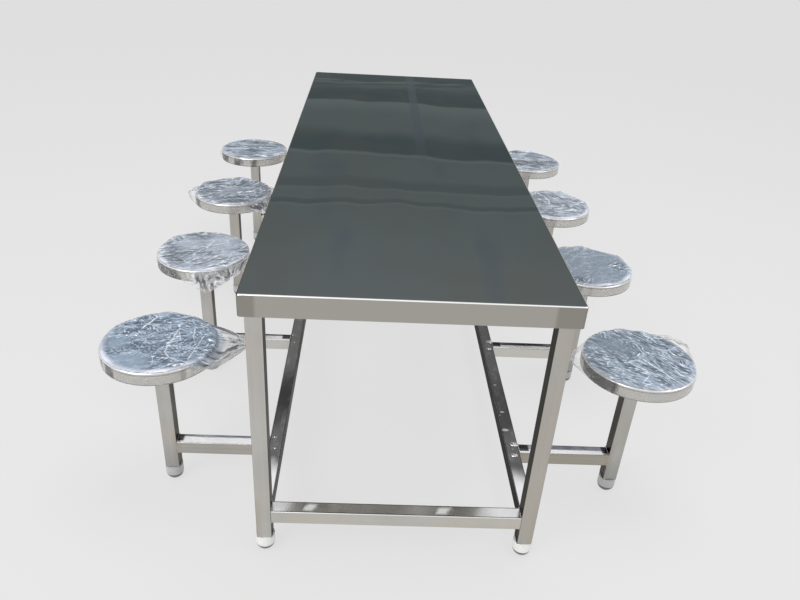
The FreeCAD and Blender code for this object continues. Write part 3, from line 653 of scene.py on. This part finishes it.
# Moulded nylon with a painted dark ring of shade round its base, and a zinc-plated thread above the foot's flat top
def footFinish(name, nylon):
    material, tree, surface, where = newMaterial(name)
    place = where["Object"]
    z = apart(tree, place)[2]
    dust = noiseOf(tree, place, 60.0, 3.0)
    low = step(tree, maths(tree, "MULTIPLY_ADD", dust, 0.012, z), 0.020, 0.008)
    colour = blendColour(tree, maths(tree, "MULTIPLY", low, 0.6), nylon, footLook["dusty"])
    # painted shade: a dark ring round the foot's base
    colour = blendColour(tree, step(tree, z, 0.0215, 0.0180), colour, footLook["ring"])
    stem = step(tree, z, layout["footTop"] + 0.0002, layout["footTop"] + 0.0006)
    colour = blendColour(tree, stem, colour, footLook["zinc"])
    socketOf(tree, colour, surface.inputs["Base Color"])
    socketOf(tree, stem, surface.inputs["Metallic"])
    socketOf(tree, maths(tree, "MULTIPLY_ADD", dust, 0.15, 0.28), surface.inputs["Roughness"])
    thread = product(tree, maths(tree, "SINE", maths(tree, "MULTIPLY", z, 2 * math.pi / 0.0025)), stem)
    orange = noiseOf(tree, place, 700.0, 2.0)
    bumpOf(tree, surface, maths(tree, "MULTIPLY_ADD", orange, 0.2, thread), 0.4, 0.0008)
    return material


def speckledFinish(name, first, second, metallic, roughness):
    material, tree, surface, where = newMaterial(name)
    speck = noiseOf(tree, where["Object"], 700.0, 2.0)
    socketOf(tree, blendColour(tree, speck, first, second), surface.inputs["Base Color"])
    surface.inputs["Metallic"].default_value = metallic
    socketOf(tree, ranged(tree, speck, *roughness), surface.inputs["Roughness"])
    bumpOf(tree, surface, speck, 0.1, 0.0002)
    return material


boardLook = {"pale": (0.40, 0.375, 0.34, 1.0), "figure": (0.30, 0.28, 0.25, 1.0), "pore": (0.16, 0.15, 0.13, 1.0)}


# Greyed raw plywood: long figure along the table and thin plies on its edges
def boardFinish():
    material, tree, surface, where = newMaterial("rawPlywood")
    place = where["Object"]
    z = apart(tree, place)[2]
    figure = noiseOf(tree, stretched(tree, place, (26.0, 2.2, 1.0)), 1.0, 4.0, 0.6, 0.8)
    pores = noiseOf(tree, stretched(tree, place, (900.0, 40.0, 900.0)), 1.0, 2.0)
    colour = blendColour(tree, step(tree, figure, 0.35, 0.65), boardLook["figure"], boardLook["pale"])
    colour = blendColour(tree, maths(tree, "MULTIPLY", step(tree, pores, 0.6, 0.7), 0.4), colour, boardLook["pore"])
    ply = step(tree, maths(tree, "SINE", maths(tree, "MULTIPLY", z, 2 * math.pi / 0.003)), -0.2, 0.2)
    facing = useGroup(tree, facingGroup, {"Normal": where["Normal"], "Vector": place})
    edge = largest(tree, facing["Along"], facing["Across"])
    colour = blendColour(tree, product(tree, edge, ply, 0.5), colour, boardLook["pore"])
    socketOf(tree, colour, surface.inputs["Base Color"])
    socketOf(tree, ranged(tree, figure, 0.6, 0.75), surface.inputs["Roughness"])
    bumpOf(tree, surface, pores, 0.25, 0.0004)
    return material


finishes = {
    "top": topFinish(),
    "upright": tubeFinish("upright", uprightUpper),
    "longRail": tubeFinish("longRail", longRailUpper),
    "endRail": tubeFinish("endRail", endRailUpper),
    "arm": tubeFinish("arm", armUpper),
    "pan": panFinish(),
    "plate": plateFinish("millPlate", (0.50, 0.495, 0.485, 1.0), (0.36, 0.35, 0.335, 1.0), (0.35, 0.5)),
    "weld": plateFinish("weldMetal", (0.93, 0.93, 0.95, 1.0), (0.50, 0.50, 0.50, 1.0), (0.22, 0.38)),
    "film": filmFinish(),
    "legFoot": footFinish("legFootNylon", (0.75, 0.75, 0.74, 1.0)),
    # painted shade: the stool feet are the same white nylon as the leg feet, painted grey
    "stoolFoot": footFinish("stoolFootNylon", (0.42, 0.43, 0.44, 1.0)),
    "bush": speckledFinish("bushNylon", (0.03, 0.03, 0.032, 1.0), (0.07, 0.07, 0.072, 1.0), 0.0, (0.35, 0.55)),
    "screw": speckledFinish("zincScrew", (0.62, 0.61, 0.56, 1.0), (0.78, 0.77, 0.72, 1.0), 1.0, (0.22, 0.36)),
    "board": boardFinish(),
}
finishOfPiece = (
    ("top_sheet", "top"), ("top_board", "board"), ("leg_", "upright"), ("stool_post_", "upright"),
    ("side_rail_", "longRail"), ("top_rail_left", "longRail"), ("top_rail_right", "longRail"),
    ("top_rail_", "endRail"), ("top_bearer_", "endRail"), ("end_rail_", "endRail"), ("stool_arm_", "arm"),
    ("seat_pan_", "pan"), ("seat_plates", "plate"), ("seat_films", "film"), ("foot_bushes", "bush"),
    ("foot_leg_", "legFoot"), ("foot_stool_", "stoolFoot"), ("board_cleats", "plate"), ("board_screws", "screw"),
)
for name, piece in nodes.items():
    finish = next(finish for start, finish in finishOfPiece if name.startswith(start))
    piece.data.materials.clear()
    piece.data.materials.append(finishes[finish])
print("finishes made:", len(finishes))

# The crumpled film over each seat
filmSheet = {
    "gap": 0.0009,            # clear of the pan
    "thickness": 0.0004,
    "ringsOnTop": 52,
    "ringsOnSkirt": 14,
    "spokes": 232,
    "bend": 0.005,
    "crinkle": 0.0026,
    "skirtDrop": 0.034,
    "ruffleStart": 0.86,
}
# Each film's folds: how strong its painted highlight is where it bends over the rim, how grey it is and how much paler
# in its bold spots, the way they run in degrees, how long, how coarse, how pale and how stark its creases are, how pale
# it is where still, its calm and its bold spots as place across and along and radius, its ruffles along the rim as
# angle, half-width and height, its tails as angle, half-width, reach past the rim, height of the tip, sag towards the
# front, width and slope of the end, and its puffs as angle, half-width, reach and lift
filmFolds = {
    "left_1": {"brim": 1.0, "grey": 0.0, "boldPale": 0.0, "turn": 14, "run": 1.05, "coarse": 0.9, "pale": -0.08, "stark": 0.98, "still": 0.72, "calm": 0.0,
               "calmSpots": ((-0.04, -0.10, 0.07), (-0.10, -0.02, 0.045)), "boldSpots": ((0.045, 0.02, 0.045), (0.10, -0.03, 0.04), (-0.05, 0.09, 0.05)),
               "ruffles": ((105, 75, 0.006), (-5, 30, 0.004)), "tails": ((8, 58, 0.080, 0.432, 0.058, 0.16, 0.0),), "puffs": ((125, 34, 0.005, 0.002),)},
    "left_2": {"brim": 0.75, "grey": 0.9, "boldPale": 0.0, "turn": 22, "run": 1.5, "coarse": 1.15, "pale": 0.20, "stark": 1.45, "still": 0.72, "calm": 0.0,
               "calmSpots": ((0.05, 0.075, 0.095), (-0.05, 0.045, 0.065), (0.075, -0.02, 0.05)), "boldSpots": ((-0.05, -0.10, 0.07), (0.06, -0.11, 0.05)),
               "ruffles": ((130, 75, 0.007), (-20, 50, 0.003)), "tails": ((-58, 52, 0.006, 0.400, 0.0, 0.50, 0.028),), "puffs": ((170, 26, 0.004, 0.0),)},
    "left_3": {"brim": 0.6, "grey": 0.8, "boldPale": 0.0, "turn": 24, "run": 1.5, "coarse": 1.35, "pale": 0.13, "stark": 1.7, "still": 0.45, "calm": 0.0,
               "calmSpots": ((-0.01, 0.0, 0.06),), "boldSpots": ((-0.06, 0.10, 0.06), (0.12, 0.03, 0.05), (0.04, -0.10, 0.06)),
               "ruffles": ((110, 80, 0.008), (10, 45, 0.008)), "tails": ((-28, 40, 0.014, 0.398, 0.0, 0.25, 0.0),), "puffs": ((176, 42, 0.026, 0.020), (20, 26, 0.034, 0.006))},
    "left_4": {"brim": 0.6, "grey": 0.35, "boldPale": 0.0, "turn": -2, "run": 2.2, "coarse": 1.7, "pale": 0.12, "stark": 2.4, "still": 0.4, "calm": 0.0, "calmSpots": (), "boldSpots": ((0.0, 0.02, 0.08),),
               "ruffles": ((140, 60, 0.004),), "tails": (), "puffs": ((185, 24, 0.008, 0.0),)},
    "right_1": {"brim": 0.3, "grey": 0.35, "boldPale": 0.45, "turn": -50, "run": 1.5, "coarse": 0.85, "pale": 0.04, "stark": 1.2, "still": 0.36, "calm": 0.0,
                "calmSpots": ((-0.05, 0.055, 0.075),), "boldSpots": ((0.01, -0.09, 0.06), (-0.09, -0.03, 0.05)),
                "ruffles": ((70, 70, 0.005), (190, 40, 0.003)), "tails": (), "puffs": ((38, 34, 0.050, 0.020), (172, 24, 0.030, 0.002))},
    "right_2": {"brim": 0.8, "grey": 0.5, "boldPale": 0.0, "turn": 40, "run": 1.5, "coarse": 1.2, "pale": 0.02, "stark": 1.1, "still": 0.46, "calm": 0.84, "calmSpots": (), "boldSpots": ((0.11, 0.0, 0.05), (-0.05, -0.12, 0.05)),
                "ruffles": ((110, 60, 0.012), (20, 45, 0.008), (-60, 40, 0.005)), "tails": (), "puffs": ((150, 30, 0.018, 0.010),)},
    "right_3": {"brim": 1.0, "grey": 1.0, "boldPale": 0.2, "turn": -20, "run": 1.5, "coarse": 1.7, "pale": 0.33, "stark": 1.4, "still": 0.4, "calm": 0.0, "calmSpots": (), "boldSpots": ((0.0, -0.05, 0.08), (0.11, 0.05, 0.05)),
                "ruffles": ((60, 80, 0.008),), "tails": (), "puffs": ((28, 30, 0.018, 0.010), (160, 26, 0.010, 0.0))},
    "right_4": {"brim": 0.6, "grey": 0.7, "boldPale": 0.0, "turn": -8, "run": 2.0, "coarse": 1.9, "pale": 0.24, "stark": 2.4, "still": 0.35, "calm": 0.0, "calmSpots": ((0.05, 0.08, 0.06),), "boldSpots": ((-0.02, -0.03, 0.08),),
                "ruffles": ((90, 70, 0.004),), "tails": (), "puffs": ((60, 40, 0.006, 0.0),)},
}


def creaseLift(x, y, seed):
    cell = noise.voronoi(Vector((x * 16, y * 30, seed)), distance_metric="DISTANCE", exponent=2.5)[0]
    facet = min(cell[1] - cell[0], 0.5)
    swell = noise.noise(Vector((x * 14, y * 22, seed + 5.0)))
    fine = noise.noise(Vector((x * 70, y * 110, seed + 9.0)))
    return max(0.0, 0.5 + 1.1 * facet + 0.35 * swell + 0.16 * fine)


def eased(value):
    value = min(1.0, max(0.0, value))
    return value * value * (3 - 2 * value)


def aside(angle, degrees):
    return (angle - math.radians(degrees) + math.pi) % (2 * math.pi) - math.pi


# One point of the film, with how much it hangs and how loose it is there
def filmPoint(folds, reach, angle, flatRadius, start, drop, seed):
    sheet = filmSheet
    radius = layout["seatRadius"] + sheet["gap"]
    top = layout["seatTop"] + sheet["gap"]
    turn = math.radians(folds["turn"])
    u = reach * math.cos(angle - turn)
    v = reach * math.sin(angle - turn)
    outward = Vector((math.cos(angle), math.sin(angle), 0))
    ruffle = 0.0
    for degrees, halfWidth, height in folds["ruffles"]:
        away = aside(angle, degrees) / math.radians(halfWidth)
        ruffle = max(ruffle, height * eased(1.4 - 1.4 * abs(away)))
    outer = (reach - sheet["ruffleStart"] * flatRadius) / (start - sheet["ruffleStart"] * flatRadius)
    ruffle *= math.sin(math.pi * min(1.0, max(0.0, outer)))
    wide = noise.noise(Vector((math.cos(angle) * 3.2, math.sin(angle) * 3.2, seed + reach * 8)))
    fine = noise.noise(Vector((math.cos(angle) * 19, math.sin(angle) * 19, seed + reach * 60)))
    ruffle *= max(0.0, 0.55 + 1.2 * wide + 0.3 * fine)
    if reach <= flatRadius:
        near = 0.12 + 0.88 * min(1.0, (flatRadius - reach) / 0.012)
        lift = top + creaseLift(u, v, seed) * sheet["crinkle"] * near + ruffle
        return outward * reach + Vector((0, 0, lift)), (u, v), 0.0, 0.0
    if reach <= start + 1e-9:
        bent = (reach - flatRadius) / sheet["bend"]
        place = outward * (flatRadius + sheet["bend"] * math.sin(bent) + ruffle * 0.5)
        return place + Vector((0, 0, top - sheet["bend"] * (1 - math.cos(bent)) + ruffle)), (u, v), min(1.0, bent * 2), 0.0
    hang = (reach - start) / drop
    ripple = 0.5 + 0.5 * noise.noise(Vector((math.cos(angle) * 9, math.sin(angle) * 9, seed + reach * 20)))
    place = outward * (radius + hang * 0.0032 * ripple) + Vector((0, 0, top - sheet["bend"] - (reach - start)))
    loose = 0.0
    for degrees, halfWidth, far, lift in folds["puffs"]:
        away = aside(angle, degrees) / math.radians(halfWidth)
        pull = math.exp(-away * away * 1.6)
        wrinkle = noise.noise(Vector((angle * 7, hang * 2.5, seed))) * 0.35 + 0.9
        place += outward * far * pull * wrinkle * math.sin(math.pi * min(1.0, 0.12 + hang * 0.88) * 0.78)
        place.z += lift * pull * hang * wrinkle
        loose = max(loose, 0.9 * pull * min(1.0, hang * 2.0) * min(1.0, max(0.0, far - 0.006) / 0.02))
    for degrees, halfWidth, far, height, sag, gather, rise in folds["tails"]:
        away = aside(angle, degrees)
        pull = eased((1.0 - abs(away) / math.radians(halfWidth)) * 3.5)
        if pull == 0.0:
            continue
        middle = math.radians(degrees)
        ahead = Vector((math.cos(middle), math.sin(middle), 0))
        across = Vector((-ahead.y, ahead.x, 0))
        tip = ahead * (radius + far) + across * away * radius * gather + Vector((0, 0, height + rise * away))
        rim = outward * radius + Vector((0, 0, top - sheet["bend"]))
        drawn = rim.lerp(tip, hang ** 0.9)
        waist = math.sin(math.pi * hang) * min(1.0, 0.1 + far / 0.04)
        drawn.z += waist * (0.0065 * math.sin(away * 21 + seed) + 0.0035 * math.sin(away * 47 + 2 * seed))
        drawn.z -= waist * 0.006 * (1 - math.cos(away))
        drawn.z -= sag * max(0.0, -math.sin(away)) * min(1.0, hang * 5) * (1 - hang) ** 1.6
        place = place.lerp(drawn, pull)
        loose = max(loose, pull * (1.3 - 0.55 * hang))
    return place, (u, v), 1.0, loose


# Painted highlight where the film bends over the pan's rim, strongest along the front
def brimHighlightOf(share, angle, place):
    front = 0.18 + 0.82 * eased(0.35 - 0.9 * math.sin(angle))
    return eased((share - 0.88) / 0.11) * front * (0.75 + 0.7 * noise.noise(place * 16))


# How firmly a long tail draws the film over the rim at one angle
def drawnTight(folds, angle):
    tight = 0.0
    for degrees, halfWidth, far, *_ in folds["tails"]:
        away = abs(aside(angle, degrees)) / math.radians(halfWidth)
        tight = max(tight, min(1.0, far / 0.06) * eased((1.0 - away) * 3.5))
    return tight


def makeFilm(name, across, along, seed):
    folds = filmFolds[name]
    sheet = filmSheet
    flatRadius = layout["seatRadius"] + sheet["gap"] - sheet["bend"]
    start = flatRadius + sheet["bend"] * math.pi / 2
    drop = sheet["skirtDrop"] - sheet["bend"]
    reaches = [flatRadius * i / sheet["ringsOnTop"] for i in range(1, sheet["ringsOnTop"] + 1)]
    reaches += [flatRadius + (start - flatRadius) * part / 4 for part in (1, 2, 3, 4)]
    reaches += [start + drop * i / sheet["ringsOnSkirt"] for i in range(1, sheet["ringsOnSkirt"] + 1)]
    spokes = sheet["spokes"]
    points = [Vector((0, 0, layout["seatTop"] + sheet["gap"] + 0.001))]
    flats = [(0.0, 0.0)]
    labels = {"hanging": [0.0], "loose": [0.0], "brim": [0.0], "calm": [folds["calm"]], "stark": [folds["stark"]],
              "pale": [folds["pale"]]}
    for reach in reaches:
        for spoke in range(spokes):
            angle = 2 * math.pi * spoke / spokes
            place, flat, hanging, loose = filmPoint(folds, reach, angle, flatRadius, start, drop, seed)
            points.append(place)
            flats.append(flat)
            tight = drawnTight(folds, angle)
            past = max(0.0, reach - start) / (0.2 * drop)
            labels["hanging"].append(hanging * (1 - tight * max(0.0, 1 - past)))
            labels["loose"].append(loose)
            labels["brim"].append(brimHighlightOf(reach / flatRadius, angle, place) * folds["brim"] * (1 - 0.8 * tight))
            calm, bold = (max([0.0] + [eased(1.3 - 1.3 * math.hypot(place.x - x, place.y - y) / radius) for x, y, radius in folds[spots]])
                          for spots in ("calmSpots", "boldSpots"))
            labels["calm"].append(max(folds["calm"] * (1 - bold), 0.85 * calm))
            labels["stark"].append(folds["stark"] + 0.8 * bold)
            labels["pale"].append(folds["pale"] + folds["boldPale"] * bold)
    for label in ("still", "grey"):
        labels[label] = [folds[label]] * len(points)
    faces = [(0, 1 + spoke, 1 + (spoke + 1) % spokes) for spoke in range(spokes)]
    for ring in range(len(reaches) - 1):
        inner = 1 + ring * spokes
        outer = inner + spokes
        for spoke in range(spokes):
            onward = (spoke + 1) % spokes
            faces.append((inner + spoke, outer + spoke, outer + onward, inner + onward))
    mesh = bpy.data.meshes.new("film_" + name)
    mesh.from_pydata([p + Vector((across, along, 0)) for p in points], [], faces)
    layer = mesh.uv_layers.new(name="flat")
    for loop in mesh.loops:
        u, v = flats[loop.vertex_index]
        layer.data[loop.index].uv = (u / folds["coarse"] / folds["run"] + seed * 0.37, v / folds["coarse"] + seed * 0.61)
    for label, values in labels.items():
        mesh.attributes.new(label, "FLOAT", "POINT").data.foreach_set("value", values)
    mesh.polygons.foreach_set("use_smooth", [True] * len(mesh.polygons))
    mesh.materials.append(finishes["film"])
    piece = bpy.data.objects.new("film_" + name, mesh)
    scene.collection.objects.link(piece)
    wall = piece.modifiers.new("wall", "SOLIDIFY")
    wall.thickness = sheet["thickness"]
    wall.offset = 1.0
    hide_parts("seat_films")
    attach(piece, "table")
    return piece


films = []
for side, direction in (("left", -1), ("right", 1)):
    for number, along in enumerate(layout["stoolAlong"], 1):
        films.append(makeFilm(f"{side}_{number}", direction * layout["stoolAcross"], along, 3.7 * len(films) + 1.3))
print("films made:", len(films))

# Weld beads are overlapping drops of metal along every seam, and tacks are larger drops at corners
weldBead = {"pitch": 0.0022, "width": 0.0015, "seed": 11, "least": 0.75}
weldTack = {"pitch": 0.0045, "width": 0.0108, "seed": 9, "least": 0.85}
smallTack = {"pitch": 0.0058, "width": 0.0062, "seed": 4, "least": 0.6}


def beadLines():
    top, low = layout["railTop"], layout["railTop"] - layout["tube"]
    lines = []
    for side in (-1, 1):
        rail, post = side * railSide, side * postSide
        inner = side * (layout["legAcross"] - half)
        for along in layout["stoolAlong"]:
            lines.append(((rail, along - half, top), (rail, along + half, top)))
            lines.append(((post, along - half, top), (post, along + half, top)))
            for edge in (-half, half):
                lines.append(((rail, along + edge, low), (rail, along + edge, top)))
                lines.append(((post, along + edge, low + 0.002), (post, along + edge, top - 0.002)))
            lines.append(((post, along - half, low), (post, along + half, low)))
        for end in (-1, 1):
            middle = end * layout["legAlong"]
            face = middle - end * half
            lines.append(((inner, middle - half, top), (inner, middle + half, top)))
            lines.append(((inner, middle - half, low), (inner, middle + half, low)))
            lines.append(((inner, face, low), (inner, face, top)))
            lines.append(((inner, face, top), (rail, face, top)))
            lines.append(((inner, face, low), (rail, face, low)))
    return lines


def tackLines(side, sunk):
    rail = side * railSide
    lines = []
    for along in layout["stoolAlong"]:
        for edge, inset in ((-half - 0.010, 0.016), (half - 0.002, 0.0105)):
            lines.append(((rail - side * (inset + 0.003), along + edge, layout["railTop"] - sunk),
                          (rail - side * (inset - 0.003), along + edge * 0.96, layout["railTop"] - sunk)))
    return lines


def weldTree():
    tree = bpy.data.node_groups.new("weldDrops", "GeometryNodeTree")
    tree.interface.new_socket(name="Geometry", in_out="INPUT", socket_type="NodeSocketGeometry")
    for name, kind in (("Pitch", "NodeSocketFloat"), ("Width", "NodeSocketFloat"), ("Seed", "NodeSocketInt"), ("Least", "NodeSocketFloat")):
        tree.interface.new_socket(name=name, in_out="INPUT", socket_type=kind)
    tree.interface.new_socket(name="Geometry", in_out="OUTPUT", socket_type="NodeSocketGeometry")
    given = tree.nodes.new("NodeGroupInput").outputs
    made = tree.nodes.new("NodeGroupOutput").inputs
    curve = addNode(tree, "GeometryNodeMeshToCurve", {"Mesh": given["Geometry"]})
    spots = addNode(tree, "GeometryNodeResampleCurve", {"Curve": curve.outputs[0], "Length": given["Pitch"]}, mode="LENGTH")
    drop = addNode(tree, "GeometryNodeMeshUVSphere", {"Segments": 8, "Rings": 5, "Radius": given["Width"]})
    size = addNode(tree, "FunctionNodeRandomValue", {"Seed": given["Seed"]}, data_type="FLOAT")
    socketOf(tree, given["Least"], size.inputs[2])
    size.inputs[3].default_value = 1.1
    tangent = tree.nodes.new("GeometryNodeInputTangent")
    turn = addNode(tree, "FunctionNodeAlignRotationToVector", {"Vector": tangent.outputs[0]}, axis="X")
    laid = addNode(tree, "GeometryNodeInstanceOnPoints", {"Points": spots.outputs[0], "Instance": drop.outputs["Mesh"],
                                                          "Rotation": turn.outputs[0], "Scale": size.outputs[1]})
    real = addNode(tree, "GeometryNodeRealizeInstances", {"Geometry": laid.outputs[0]})
    coated = addNode(tree, "GeometryNodeSetMaterial", {"Geometry": real.outputs[0], "Material": finishes["weld"]})
    smooth = addNode(tree, "GeometryNodeSetShadeSmooth", {"Geometry": coated.outputs[0]})
    tree.links.new(smooth.outputs[0], made["Geometry"])
    return tree


def makeWelds(name, tree, lines, settings, finish):
    mesh = bpy.data.meshes.new(name + "_lines")
    corners = [corner for line in lines for corner in line]
    mesh.from_pydata(corners, [(2 * i, 2 * i + 1) for i in range(len(lines))], [])
    piece = bpy.data.objects.new(name, mesh)
    scene.collection.objects.link(piece)
    modifier = piece.modifiers.new("drops", "NODES")
    modifier.node_group = tree
    for socket in tree.interface.items_tree:
        if socket.in_out == "INPUT" and socket.name.lower() in settings:
            modifier[socket.identifier] = settings[socket.name.lower()]
    graph = bpy.context.evaluated_depsgraph_get()
    plain = bpy.data.meshes.new_from_object(piece.evaluated_get(graph))
    piece.modifiers.clear()
    piece.data = plain
    plain.materials.clear()
    plain.materials.append(finishes[finish])
    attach(piece, "table")
    return piece


drops = weldTree()
for name, lines, settings, finish in (("weld_beads", beadLines(), weldBead, "plate"), ("weld_tacks_right", tackLines(1, 0.0062), weldTack, "weld"),
                                      ("weld_tacks_left", tackLines(-1, 0.0034), smallTack, "plate")):
    print(name, len(makeWelds(name, drops, lines, settings, finish).data.polygons), "faces")

# The studio: a pale floor and soft lamps
studio = {
    "floorSize": 40.0,
    "pale": (0.735, 0.735, 0.735, 1.0),     # how the background shows
    "floorPaint": (0.80, 0.80, 0.80, 1.0),
    "floorGlow": (0.757, 0.757, 0.757, 1.0),
    "floorEvenness": 0.88,
    "ambient": 0.70,
    "lamps": {
        "key": {"place": (-2.6, -3.2, 3.4), "aim": (0.0, -0.2, 0.4), "size": 2.6, "power": 110.0},
        "overhead": {"place": (0.4, -0.3, 3.6), "aim": (0.0, -0.2, 0.0), "size": 2.4, "power": 75.0, "mirrored": False},
        "fill": {"place": (3.4, -1.6, 2.6), "aim": (0.0, 0.0, 0.4), "size": 2.4, "power": 28.0},
    },
    # what metal shows of the studio, by how high it looks
    "walls": ((0.0, 0.74), (0.10, 0.70), (0.22, 0.58), (0.55, 0.58), (0.68, 0.9), (1.0, 1.0)),
}


def makeFloor():
    reach = studio["floorSize"] / 2
    mesh = bpy.data.meshes.new("floor")
    mesh.from_pydata([(-reach, -reach, 0), (reach, -reach, 0), (reach, reach, 0), (-reach, reach, 0)], [], [(0, 1, 2, 3)])
    piece = bpy.data.objects.new("floor", mesh)
    scene.collection.objects.link(piece)
    material = bpy.data.materials.new("paleFloor")
    material.use_nodes = True
    tree = material.node_tree
    tree.nodes.clear()
    paint = addNode(tree, "ShaderNodeBsdfDiffuse", {"Color": studio["floorPaint"]})
    even = addNode(tree, "ShaderNodeEmission", {"Color": studio["floorGlow"], "Strength": 1.0})
    path = tree.nodes.new("ShaderNodeLightPath").outputs
    share = maths(tree, "MULTIPLY", largest(tree, path["Is Camera Ray"], path["Is Glossy Ray"], path["Is Transmission Ray"]),
                  studio["floorEvenness"])
    mixed = addNode(tree, "ShaderNodeMixShader", {0: share, 1: paint.outputs[0], 2: even.outputs[0]})
    out = tree.nodes.new("ShaderNodeOutputMaterial")
    tree.links.new(mixed.outputs[0], out.inputs["Surface"])
    mesh.materials.append(material)


def makeWorld():
    world = bpy.data.worlds.new("studio")
    scene.world = world
    world.use_nodes = True
    tree = world.node_tree
    tree.nodes.clear()
    path = tree.nodes.new("ShaderNodeLightPath").outputs
    up = apart(tree, tree.nodes.new("ShaderNodeTexCoord").outputs["Generated"])[2]
    walls = addNode(tree, "ShaderNodeValToRGB", {0: up})
    stops = walls.color_ramp.elements
    while len(stops) < len(studio["walls"]):
        stops.new(0.5)
    for stop, (height, grey) in zip(stops, studio["walls"]):
        stop.position = height
        stop.color = (grey, grey, grey, 1.0)
    mirrored = largest(tree, path["Is Glossy Ray"], path["Is Transmission Ray"])
    shown = addNode(tree, "ShaderNodeBackground", {"Color": blendColour(tree, mirrored, studio["pale"], walls.outputs[0])})
    light = addNode(tree, "ShaderNodeBackground", {"Strength": studio["ambient"]})
    light.inputs["Color"].default_value = (1.0, 1.0, 1.0, 1.0)
    mixed = addNode(tree, "ShaderNodeMixShader", {0: largest(tree, path["Is Camera Ray"], mirrored),
                                                  1: light.outputs[0], 2: shown.outputs[0]})
    out = tree.nodes.new("ShaderNodeOutputWorld")
    tree.links.new(mixed.outputs[0], out.inputs["Surface"])


def makeLamp(name, settings):
    lamp = bpy.data.lights.new(name, "AREA")
    lamp.shape = "DISK"
    lamp.size = settings["size"]
    lamp.energy = settings["power"]
    piece = bpy.data.objects.new(name, lamp)
    scene.collection.objects.link(piece)
    piece.location = settings["place"]
    piece.visible_glossy = settings.get("mirrored", True)
    toward = Vector(settings["aim"]) - Vector(settings["place"])
    piece.rotation_euler = toward.to_track_quat("-Z", "Y").to_euler()


makeFloor()
makeWorld()
for name, settings in studio["lamps"].items():
    makeLamp(name, settings)
scene.view_settings.view_transform = "Standard"
print("studio lit")

# The camera, at the photograph's place
cameraView = {
    "place": (-0.10042, -2.33722, 1.45113),
    "pitch": 29.77,      # degrees down
    "yaw": 2.28,         # degrees to the right
    "roll": 3.26,
    "focal": 716.86,     # in pixels of an image 800 wide
    "centre": (388.6, 310.54),
    "image": (800, 600),
    "sensor": 36.0,
}


def makeCamera():
    view = cameraView
    pitch, yaw, roll = (math.radians(view[name]) for name in ("pitch", "yaw", "roll"))
    forward = Vector((math.sin(yaw) * math.cos(pitch), math.cos(yaw) * math.cos(pitch), -math.sin(pitch)))
    right = forward.cross(Vector((0, 0, 1))).normalized()
    up = right.cross(forward)
    across = right * math.cos(roll) + up * math.sin(roll)
    upright = up * math.cos(roll) - right * math.sin(roll)
    camera = bpy.data.cameras.new("camera")
    camera.sensor_width = view["sensor"]
    wide, tall = view["image"]
    camera.lens = view["focal"] * view["sensor"] / wide
    camera.shift_x = (wide / 2 - view["centre"][0]) / wide
    camera.shift_y = (view["centre"][1] - tall / 2) / wide
    camera.clip_start = 0.05
    camera.clip_end = 100.0
    piece = bpy.data.objects.new("camera", camera)
    scene.collection.objects.link(piece)
    turn = Matrix((across, upright, -forward)).transposed().to_4x4()
    piece.matrix_world = Matrix.Translation(Vector(view["place"])) @ turn
    scene.camera = piece


makeCamera()
print("camera set")
